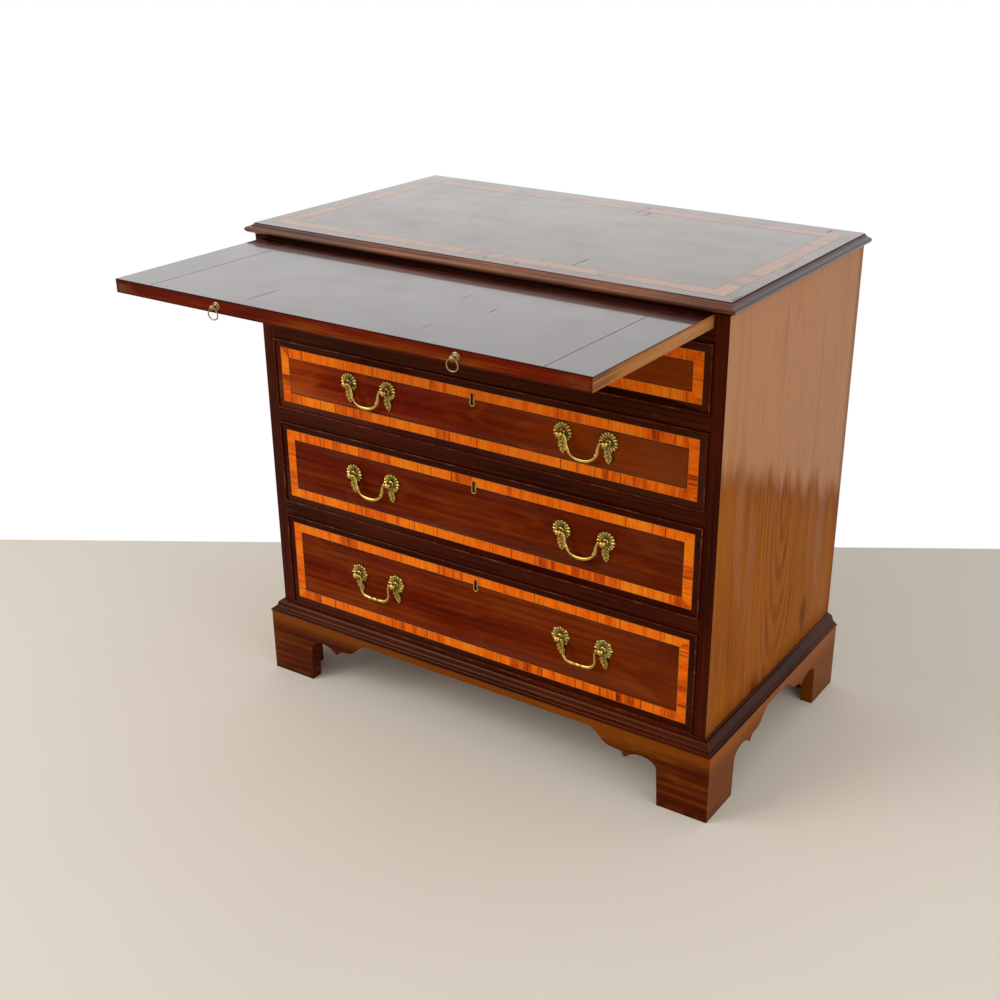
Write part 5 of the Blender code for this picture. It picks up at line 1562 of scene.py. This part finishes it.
# A head's middle lies this share of its radius inside the back's face, which leaves the head hidden
NAIL_SINK_SHARE = 0.45


def nail_tree(name):
    """Two upright rows of nail heads, one along each edge of the back."""
    inputs = (
        ("Half Width", "Float"), ("Low", "Float"), ("High", "Float"), ("Face", "Float"), ("Count", "Int")
    )
    inputs += (("Radius", "Float"), ("Material", "Material"))
    g = Growth(name, inputs)
    rows = g.add("GeometryNodeJoinGeometry")
    for sign in (-1.0, 1.0):
        across = g.math("MULTIPLY", g.given["Half Width"], sign)
        start = g.add(
            "ShaderNodeCombineXYZ", ((0, across), (1, g.given["Face"]), (2, g.given["Low"]))
        ).outputs[0]
        end = g.add(
            "ShaderNodeCombineXYZ", ((0, across), (1, g.given["Face"]), (2, g.given["High"]))
        ).outputs[0]
        values = (("Count", g.given["Count"]), ("Start Location", start), ("Offset", end))
        row = g.add("GeometryNodeMeshLine", values, mode="END_POINTS").outputs[0]
        g.tree.links.new(row, rows.inputs[0])
    head = g.add("GeometryNodeMeshIcoSphere", (("Radius", g.given["Radius"]), ("Subdivisions", 3))).outputs[0]
    flat = g.add("GeometryNodeTransform", (("Geometry", head), ("Scale", (1.0, 0.35, 1.0)))).outputs[0]
    limits = ((0, (0.0, -0.2, 0.0)), (1, (0.1, 0.2, 0.1)), (8, 4))
    turn = g.add("FunctionNodeRandomValue", limits, data_type="FLOAT_VECTOR")
    values = (("Points", rows.outputs[0]), ("Instance", flat), ("Rotation", turn.outputs[0]))
    nails = g.add("GeometryNodeInstanceOnPoints", values).outputs[0]
    g.finish(nails, g.given["Material"])
    return g


def back_nails():
    """Nails that hold the back in its rebates."""
    low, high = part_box("back_panel")
    values = {
        "Half Width": high.x - NAIL_INSET,
        "Low": low.z + 3 * NAIL_INSET,
        "High": high.z - 3 * NAIL_INSET,
        "Face": high.y - NAIL_RADIUS * NAIL_SINK_SHARE,
        "Count": NAILS_PER_ROW,
        "Radius": NAIL_RADIUS,
        "Material": once("nail_steel", steel_metal),
    }
    piece = tree_once("nails", nail_tree).grow("back_nails", bpy.data.meshes.new("nail_start"), values)
    mark_relief(piece.data, 0.5)
    soften(piece.data, 60)
    attach(piece, "carcass")


def mark_relief(mesh, level):
    """Gives every point of a casting the same relief."""
    layer = mesh.attributes.new("relief", "FLOAT", "POINT")
    layer.data.foreach_set("value", [level] * len(mesh.vertices))


# The mouldings' sections, as shares of projection and height, from the top down. Each run is smooth
# in itself and meets the next at a sharp arris.
TOP_RECESS_SHARE = 0.2
TOP_RUN_SHARES = (
    ((0.0, 1.0), (0.0, 0.90)),
    ((0.13, 0.895), (0.20, 0.83), (0.36, 0.75), (0.60, 0.70), (0.80, 0.69)),
    ((0.84, 0.63), (0.97, 0.60), (1.0, 0.50), (0.95, 0.38), (0.80, 0.28), (0.58, TOP_RECESS_SHARE)),
    ((0.02, TOP_RECESS_SHARE), (0.02, 0.0)),
)
BASE_RUN_SHARES = (
    ((0.10, 1.0), (0.14, 0.93)),
    ((0.22, 0.905), (0.34, 0.86), (0.45, 0.75), (0.51, 0.60), (0.55, 0.46), (0.62, 0.37), (0.71, 0.32)),
    ((0.73, 0.26), (0.81, 0.24), (0.88, 0.18), (0.89, 0.12)),
    ((1.0, 0.10), (1.0, 0.0)),
)
# The base moulding's inner faces stand this far off the carcass
BASE_CLEARANCE = 0.0003


def section_points(runs, projection, low, height):
    """A moulding's section as distances out and heights, from the bottom up."""
    points = []
    for run in runs:
        line = run if len(run) == 2 else smooth_line(run, 5)
        points += [(min(out, 1.0) * projection, low + up * height) for out, up in line]
    return points[::-1]


class CHEST_OT_mouldings(Operator):
    """Work the moulded top board and the base moulding"""

    bl_idname = "chest.mouldings"
    bl_label = "Top and mouldings"

    def execute(self, context):
        low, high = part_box("top_board")
        projection = high.x - HALF_WIDTH
        levels = []
        thickness = high.z - TOP_EASE - low.z
        for out, height in section_points(TOP_RUN_SHARES, projection, low.z, thickness):
            half = HALF_WIDTH + out
            corners = ((-half, FRONT - out), (half, FRONT - out), (half, BACK), (-half, BACK))
            levels.append([(*corner, height) for corner in corners])
        bm = stacked(levels)
        woods = context.scene.chest_woods
        polished = (woods.top_dark, woods.top_mid, woods.top_light)
        board = once("polished_top", top_wood, "X", polished, (0.1, -0.2, -0.77), 1.28)
        front = (woods.rail_mid, woods.mould_mid, woods.mould_light)
        end = (woods.rail_dark, woods.rail_mid, woods.foot_mid)
        edges = [
            once("top_moulding_X", moulding_wood, "X", front, 0.65, 0.30, NEUTRAL_GLOSS),
            once("top_moulding_Y", moulding_wood, "Y", end, 0.3, 0.38, NEUTRAL_GLOSS),
        ]
        # The underside of the top and the narrow recess under its nose are painted near black as shade
        shadow = (woods.string_dark, woods.rail_dark, woods.rail_mid)
        under = once("top_underside", moulding_wood, "X", shadow, 0.0, 0.03, WARM_GLOSS)
        obj = from_bmesh("dressed_top_board", bm, [*edges, board, under], 20)
        paint_ends(obj.data)
        recess = low.z + TOP_RECESS_SHARE * thickness
        for face in obj.data.polygons:
            if face.center.z > low.z + thickness - HAIR:
                face.material_index = 2
            elif face.center.z < recess + HAIR:
                face.material_index = 3
        settle(keep_flats(obj), "top_board")
        low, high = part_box("base_moulding")
        projection = high.x - HALF_WIDTH
        inner = HALF_WIDTH + BASE_CLEARANCE
        levels = []
        for out, height in section_points(BASE_RUN_SHARES, projection, low.z, high.z - low.z):
            outer = HALF_WIDTH + out
            half = [(-inner, FRONT - BASE_CLEARANCE), (-inner, BACK), (-outer, BACK), (-outer, FRONT - out)]
            corners = half + [(-across, deep) for across, deep in reversed(half)]
            levels.append([(*corner, height) for corner in corners])
        tones = (woods.rail_dark, woods.rail_mid, woods.foot_mid)
        look = (tones, 0.4, 0.17, WARM_GLOSS)
        edges = [once("base_moulding_" + grain, moulding_wood, grain, *look) for grain in "XY"]
        obj = from_bmesh("dressed_base_moulding", stacked(levels), edges, 32)
        paint_ends(obj.data)
        settle(keep_flats(obj), "base_moulding")
        return {"FINISHED"}


class CHEST_OT_feet(Operator):
    """Dress the bracket feet"""

    bl_idname = "chest.feet"
    bl_label = "Feet"

    def execute(self, context):
        woods = context.scene.chest_woods
        width = context.scene.chest_edges.foot
        worn = once("worn_foot_edge", worn_wood, tuple(woods.foot_mid), tuple(woods.rail_scuff), 0.6)
        inside = once("foot_block_pine", pine_wood, "X")
        for node, facing, inward in (
            ("plinth_front", "Y", (0, 1, 0)),
            ("plinth_left", "X", (1, 0, 0)),
            ("plinth_right", "X", (-1, 0, 0)),
        ):
            wood = once("foot_mahogany_" + facing, foot_wood, facing)
            obj = eased_copy(node, width, [wood, worn, inside], worn=1, degrees=50)
            paint_by_facing(obj.data, ((inward, 2),))
            settle(obj, node)
        return {"FINISHED"}


class CHEST_OT_slide(Operator):
    """Dress the brushing slide, its cleats and its ring pulls"""

    bl_idname = "chest.slide"
    bl_label = "Brushing slide"

    def execute(self, context):
        woods = context.scene.chest_woods
        width = context.scene.chest_edges.slide
        edge = once("slide_edge", slide_edge_wood)
        end = once("slide_end", slide_end_wood)
        worn = once("worn_slide_edge", worn_wood, tuple(woods.string_dark), tuple(woods.edge_wear_and_highlight), 0.25)
        under = once("slide_underside", lining_wood, "X")
        tones = (woods.slide_dark, woods.slide_mid, woods.slide_light)
        board = once("polished_slide", top_wood, "X", tones, (0.33, 0.12, -0.77), 1.62)
        obj = eased_copy("slide_panel", width, [under, board, edge, worn], worn=3)
        paint_by_facing(obj.data, (((0, 0, 1), 1), ((0, -1, 0), 2)))
        settle(obj, "slide_panel")
        for sign, word in SIGNS:
            cleat = once(
                "polished_cleat_" + word, top_wood, "Y", tones, (0.21 * sign, 0.4, -0.77), 1.62, False
            )
            obj = eased_copy("slide_cleat_" + word, width, [under, cleat, edge, end, worn], worn=4)
            paint_by_facing(obj.data, (((0, 0, 1), 1), ((0, -1, 0), 2), ((sign, 0, 0), 3)))
            settle(obj, "slide_cleat_" + word)
            slide_pull(word)
            drop_ring(word)
        slide_edging(edge, end)
        return {"FINISHED"}


EDGING_PROUD = 0.0004
EDGING_ROUND = 0.0002


def slide_edging(edge, end):
    """The thin strip that faces the slide's front edge from end to end."""
    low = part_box("slide_cleat_left")[0]
    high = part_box("slide_cleat_right")[1]
    deep = (SLIDE_FRONT - EDGING_PROUD, SLIDE_FRONT + EDGING_PROUD)
    levels = []
    for inset, height in (
        (EDGING_ROUND, low.z),
        (0.0, low.z + EDGING_ROUND),
        (0.0, high.z - EDGING_ROUND),
        (EDGING_ROUND, high.z),
    ):
        front = deep[0] + inset
        corners = (
            (low.x + inset, front),
            (high.x - inset, front),
            (high.x - inset, deep[1]),
            (low.x + inset, deep[1]),
        )
        levels.append([(*corner, height) for corner in corners])
    obj = from_bmesh("slide_edging", stacked(levels), [edge, end], 40)
    paint_by_facing(obj.data, (((1, 0, 0), 1), ((-1, 0, 0), 1)))
    attach(obj, "slide")


# The keyhole's slot and the brass line round it
KEYHOLE_RADIUS = 0.0031
KEYHOLE_WAIST = 0.0025
KEYHOLE_LENGTH = 0.0195
KEYHOLE_TOP = 0.0200
KEYHOLE_RECESS = 0.0050
KEYHOLE_STEPS = 12


def keyhole_line(top, grow):
    """A tall slot with round ends and a slight waist, grown outwards, about x = 0."""
    upper = top - KEYHOLE_RADIUS
    lower = top - KEYHOLE_LENGTH + KEYHOLE_RADIUS
    radius = KEYHOLE_RADIUS + grow
    points = []
    for step in range(KEYHOLE_STEPS + 1):
        angle = math.pi * step / KEYHOLE_STEPS
        points.append((radius * math.cos(angle), upper + radius * math.sin(angle)))
    waist = KEYHOLE_WAIST + grow
    points.append((-waist, (upper * 2 + lower) / 3))
    points.append((-waist, (upper + lower * 2) / 3))
    for step in range(KEYHOLE_STEPS + 1):
        angle = math.pi * (1 + step / KEYHOLE_STEPS)
        points.append((radius * math.cos(angle), lower + radius * math.sin(angle)))
    points.append((waist, (upper + lower * 2) / 3))
    points.append((waist, (upper * 2 + lower) / 3))
    return points


def escutcheon(drawer):
    """The brass line let in round the foot and the sides of the keyhole."""
    girth = bpy.context.scene.chest_brass.eyelet / 2
    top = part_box("drawer_%d_front" % drawer)[1].z - KEYHOLE_TOP
    line = keyhole_line(top, girth * 0.8)
    lower = line[KEYHOLE_STEPS + 1 :]
    start = (-KEYHOLE_RADIUS - girth * 0.8, top - KEYHOLE_RADIUS)
    end = (KEYHOLE_RADIUS + girth * 0.8, top - KEYHOLE_RADIUS)
    flat = [start, *lower, end]
    points = [(across, FRONT - 0.0001, up) for across, up in flat]
    girths = [girth * 0.6] + [girth] * len(lower) + [girth * 0.6]
    piece = grow_wire("drawer_%d_escutcheon" % drawer, points, girths, [0.5] * len(points), brass())
    attach(piece, "drawer_%d" % drawer)


def let_in_keyhole(obj, drawer):
    """Cuts the keyhole's slot into a piece of the front."""
    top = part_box("drawer_%d_front" % drawer)[1].z - KEYHOLE_TOP
    levels = [[(x, FRONT + deep, z) for x, z in keyhole_line(top, 0.0)] for deep in (-0.002, KEYHOLE_RECESS)]
    cutter = from_bmesh("slot", stacked(levels), [obj.data.materials[0]])
    slot = obj.modifiers.new("slot", "BOOLEAN")
    slot.operation = "DIFFERENCE"
    slot.object = cutter
    apply_modifiers(obj)
    bpy.data.objects.remove(cutter, do_unlink=True)
    soften(obj.data, 30)
    return obj


def front_board(drawer):
    """The front without its CAD bead, with the keyhole's slot let in."""
    node = "drawer_%d_front" % drawer
    bm = merged_node(node)
    geometry = bm.verts[:] + bm.edges[:] + bm.faces[:]
    cut = bmesh.ops.bisect_plane(
        bm,
        geom=geometry,
        plane_co=(0, FRONT - HAIR, 0),
        plane_no=(0, -1, 0),
        clear_outer=True,
        dist=HAIR / 10,
    )
    rim = [part for part in cut["geom_cut"] if isinstance(part, bmesh.types.BMEdge)]
    bmesh.ops.triangle_fill(bm, edges=rim, use_beauty=True, use_dissolve=False)
    bmesh.ops.remove_doubles(bm, verts=bm.verts, dist=WELD)
    bmesh.ops.recalc_face_normals(bm, faces=bm.faces)
    obj = from_bmesh("dressed_" + node, bm, [once("field_mahogany_%d" % drawer, field_wood, drawer)], 30)
    return settle(let_in_keyhole(obj, drawer), node)


BEAD_STEPS = 8
# How much of the bead's height is straight, and how far its foot is let into the front
BEAD_FOOT_SHARE = 0.45
BEAD_SINK = 0.0002


class CHEST_OT_fronts(Operator):
    """Dress the drawer fronts with cockbeads, crossbanding, strings and escutcheons"""

    bl_idname = "chest.fronts"
    bl_label = "Drawer fronts"

    def execute(self, context):
        inlay = context.scene.chest_inlay
        edges = context.scene.chest_edges
        turn = Matrix(((1, 0, 0), (0, 0, -1), (0, 1, 0)))
        for drawer in DRAWERS:
            body = "drawer_%d" % drawer
            low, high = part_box(body + "_front")
            front_board(drawer)
            escutcheon(drawer)
            corner, far = (low.x, low.z), (high.x, high.z)
            section = [(0.0, -BEAD_SINK), (0.0, edges.bead_proud * BEAD_FOOT_SHARE)]
            for step in range(1, BEAD_STEPS):
                angle = math.pi * (1 - step / BEAD_STEPS)
                across = edges.bead / 2 * (1 + math.cos(angle))
                height_share = BEAD_FOOT_SHARE + (1 - BEAD_FOOT_SHARE) * math.sin(angle)
                section.append((across, edges.bead_proud * height_share))
            section += [(edges.bead, edges.bead_proud * BEAD_FOOT_SHARE), (edges.bead, -BEAD_SINK)]
            bead = mitred_frame(corner, far, section, on_front)
            attach(
                from_bmesh(body + "_cockbead", bead, [once("cockbead", bead_wood)], 40),
                body,
            )
            ground = Vector((0.0, FRONT + inlay.sink, (low.z + high.z) / 2))
            strings, banding = inlaid_frame(
                body,
                corner,
                far,
                inlay.front_inset,
                inlay.front_band,
                on_front,
                turn,
                ground,
                once("front_banding", front_band_wood),
                inlay.seed + 40 * drawer,
                lambda piece: let_in_keyhole(piece, drawer),
            )
            attach(strings, body)
            attach(banding, body)
        return {"FINISHED"}


class CHEST_OT_top_inlay(Operator):
    """Lay the top's crossbanding and strings"""

    bl_idname = "chest.top_inlay"
    bl_label = "Top inlay"

    def execute(self, context):
        inlay = context.scene.chest_inlay
        low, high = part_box("top_board")
        ground = Vector((0.0, (low.y + high.y) / 2, high.z - TOP_EASE - inlay.sink))
        strings, banding = inlaid_frame(
            "top",
            (low.x, low.y),
            (high.x, high.y),
            inlay.top_inset,
            inlay.top_band,
            on_top,
            Matrix.Identity(3),
            ground,
            once("top_banding", top_band_wood),
            inlay.seed,
        )
        attach(strings, "carcass")
        attach(banding, "carcass")
        return {"FINISHED"}


class CHEST_OT_drawer_boxes(Operator):
    """Finish the drawer linings, bottoms and lock bolts"""

    bl_idname = "chest.drawer_boxes"
    bl_label = "Drawer boxes"

    def execute(self, context):
        for drawer in DRAWERS:
            repaint("drawer_%d_linings" % drawer, once("lining_oak", lining_wood, "Y"))
            repaint("drawer_%d_bottom" % drawer, once("bottom_oak", lining_wood, "X"))
            repaint("drawer_%d_lock_bolt" % drawer, once("bolt_steel", steel_metal))
        return {"FINISHED"}


def repaint(node, material):
    """Gives a CAD node a better material and leaves its shape alone."""
    obj = frame["nodes"][node]
    if not obj.material_slots:
        obj.data.materials.append(material)
    for slot in obj.material_slots:
        slot.material = material


class CHEST_OT_handles(Operator):
    """Cast the posts, rosettes, leaves and bails of the handles"""

    bl_idname = "chest.handles"
    bl_label = "Handles"

    def execute(self, context):
        for drawer in DRAWERS:
            plain = drawer == PLAIN_HANDLE_DRAWER
            for number in (1, 2, 3, 4):
                handle_post(number, drawer, plain)
            for _, word in SIGNS:
                bail(drawer, word, plain)
        return {"FINISHED"}


# The camera, fitted to the photograph's straight edges
CAMERA_PLACE = Vector((1.1767, -1.7129, 1.3096))
CAMERA_YAW = math.radians(31.83)
CAMERA_PITCH = math.radians(-24.64)
CAMERA_ROLL = math.radians(0.534)
CAMERA_LENS = 50.49
CAMERA_SENSOR = 36.0
CAMERA_SHIFT = (-0.0622, 0.0246)
# The floor reaches this far past the camera's foot, level with the picture's skirting line
FLOOR_REACH = 2.75
FLOOR_SPREAD = 9.0
# Each lamp's place and size
KEY_LAMP = ((-2.0, -2.4, 2.5), (2.2, 2.2))
SIDE_LAMP = ((2.6, -0.5, 1.5), (2.0, 2.0))


class CHEST_OT_stage(Operator):
    """Set the floor, the lamps, the white surroundings and the camera"""

    bl_idname = "chest.stage"
    bl_label = "Stage"

    def execute(self, context):
        settings = context.scene.chest_stage
        ahead = Vector((-math.sin(CAMERA_YAW), math.cos(CAMERA_YAW), 0.0))
        level = Vector((math.cos(CAMERA_YAW), math.sin(CAMERA_YAW), 0.0))
        self.floor(settings, ahead, level)
        self.camera(context, ahead, level)
        self.world(context, settings)
        self.lamp("key_lamp", *KEY_LAMP, settings.key)
        self.lamp("side_lamp", *SIDE_LAMP, settings.fill)
        return {"FINISHED"}

    def floor(self, settings, ahead, level):
        far = CAMERA_PLACE + ahead * FLOOR_REACH
        near = far - ahead * FLOOR_SPREAD
        bm = bmesh.new()
        corners = (near - level * FLOOR_SPREAD, near + level * FLOOR_SPREAD)
        corners += (far + level * FLOOR_SPREAD, far - level * FLOOR_SPREAD)
        bm.faces.new([bm.verts.new((corner.x, corner.y, 0.0)) for corner in corners])
        n = Nodes("floor")
        grain = n.noise(n.moved((3.0, 3.0, 3.0)), 1.0, 3.0, 0.5)
        pale = tuple(settings.floor)
        shade = n.mix(grain, pale, tuple(part * 0.95 for part in pale))
        obj = from_bmesh("floor", bm, [n.close(shade, 0.85, Specular_IOR_Level=0.1)])

    def camera(self, context, ahead, level):
        forward = ahead * math.cos(CAMERA_PITCH) + Vector((0, 0, math.sin(CAMERA_PITCH)))
        upward = level.cross(forward)
        right = level * math.cos(CAMERA_ROLL) + upward * math.sin(CAMERA_ROLL)
        crown = upward * math.cos(CAMERA_ROLL) - level * math.sin(CAMERA_ROLL)
        data = bpy.data.cameras.new("camera")
        data.sensor_fit = "HORIZONTAL"
        data.sensor_width = CAMERA_SENSOR
        data.lens = CAMERA_LENS
        data.shift_x, data.shift_y = CAMERA_SHIFT
        obj = bpy.data.objects.new("camera", data)
        context.scene.collection.objects.link(obj)
        turn = Matrix((right, crown, -forward)).transposed()
        obj.matrix_world = Matrix.Translation(CAMERA_PLACE) @ turn.to_4x4()
        context.scene.camera = obj

    def world(self, context, settings):
        world = bpy.data.worlds.new("studio")
        world.use_nodes = True
        tree = world.node_tree
        background = tree.nodes["Background"]
        path = tree.nodes.new("ShaderNodeLightPath")
        seen = path.outputs["Is Camera Ray"]
        for ray in ("Is Glossy Ray", "Is Transmission Ray"):
            either = tree.nodes.new("ShaderNodeMath")
            either.operation = "MAXIMUM"
            tree.links.new(seen, either.inputs[0])
            tree.links.new(path.outputs[ray], either.inputs[1])
            seen = either.outputs[0]
        strength = tree.nodes.new("ShaderNodeMapRange")
        tree.links.new(seen, strength.inputs["Value"])
        strength.inputs["To Min"].default_value = settings.world
        strength.inputs["To Max"].default_value = 1.0
        tree.links.new(strength.outputs[0], background.inputs["Strength"])
        background.inputs["Color"].default_value = (1.0, 1.0, 1.0, 1.0)
        context.scene.world = world
        context.scene.view_settings.view_transform = "Standard"

    def lamp(self, name, place, size, power):
        data = bpy.data.lights.new(name, "AREA")
        data.shape = "RECTANGLE"
        data.size, data.size_y = size
        data.energy = power
        obj = bpy.data.objects.new(name, data)
        bpy.context.scene.collection.objects.link(obj)
        obj.location = place
        obj.rotation_euler = (CHEST_MIDDLE - Vector(place)).to_track_quat("-Z", "Y").to_euler()
        obj.visible_camera = False


OPERATORS = (
    CHEST_OT_case,
    CHEST_OT_mouldings,
    CHEST_OT_feet,
    CHEST_OT_slide,
    CHEST_OT_drawer_boxes,
    CHEST_OT_fronts,
    CHEST_OT_top_inlay,
    CHEST_OT_handles,
    CHEST_OT_stage,
)
GROUPS = (
    ("chest_woods", ChestWoods),
    ("chest_metals", ChestMetals),
    ("chest_inlay", InlaySizes),
    ("chest_edges", EdgeSizes),
    ("chest_brass", BrassSizes),
    ("chest_stage", StageSettings),
)


class CHEST_PT_panel(Panel):
    """The chest's pieces and their settings"""

    bl_idname = "CHEST_PT_panel"
    bl_label = "Bachelors chest"
    bl_space_type = "VIEW_3D"
    bl_region_type = "UI"
    bl_category = "Chest"

    def draw(self, context):
        for operator in OPERATORS:
            self.layout.operator(operator.bl_idname)
        for name, group in GROUPS:
            box = self.layout.box()
            box.label(text=group.__name__)
            for setting in group.__annotations__:
                box.prop(getattr(context.scene, name), setting)


def register():
    for name, group in GROUPS:
        bpy.utils.register_class(group)
        setattr(bpy.types.Scene, name, PointerProperty(type=group))
    for operator in OPERATORS:
        bpy.utils.register_class(operator)
    bpy.utils.register_class(CHEST_PT_panel)


def unregister():
    bpy.utils.unregister_class(CHEST_PT_panel)
    for operator in reversed(OPERATORS):
        bpy.utils.unregister_class(operator)
    for name, group in reversed(GROUPS):
        delattr(bpy.types.Scene, name)
        bpy.utils.unregister_class(group)


def main():
    register()
    for operator in OPERATORS:
        area, action = operator.bl_idname.split(".")
        getattr(getattr(bpy.ops, area), action)()


if __name__ == "__main__":
    main()
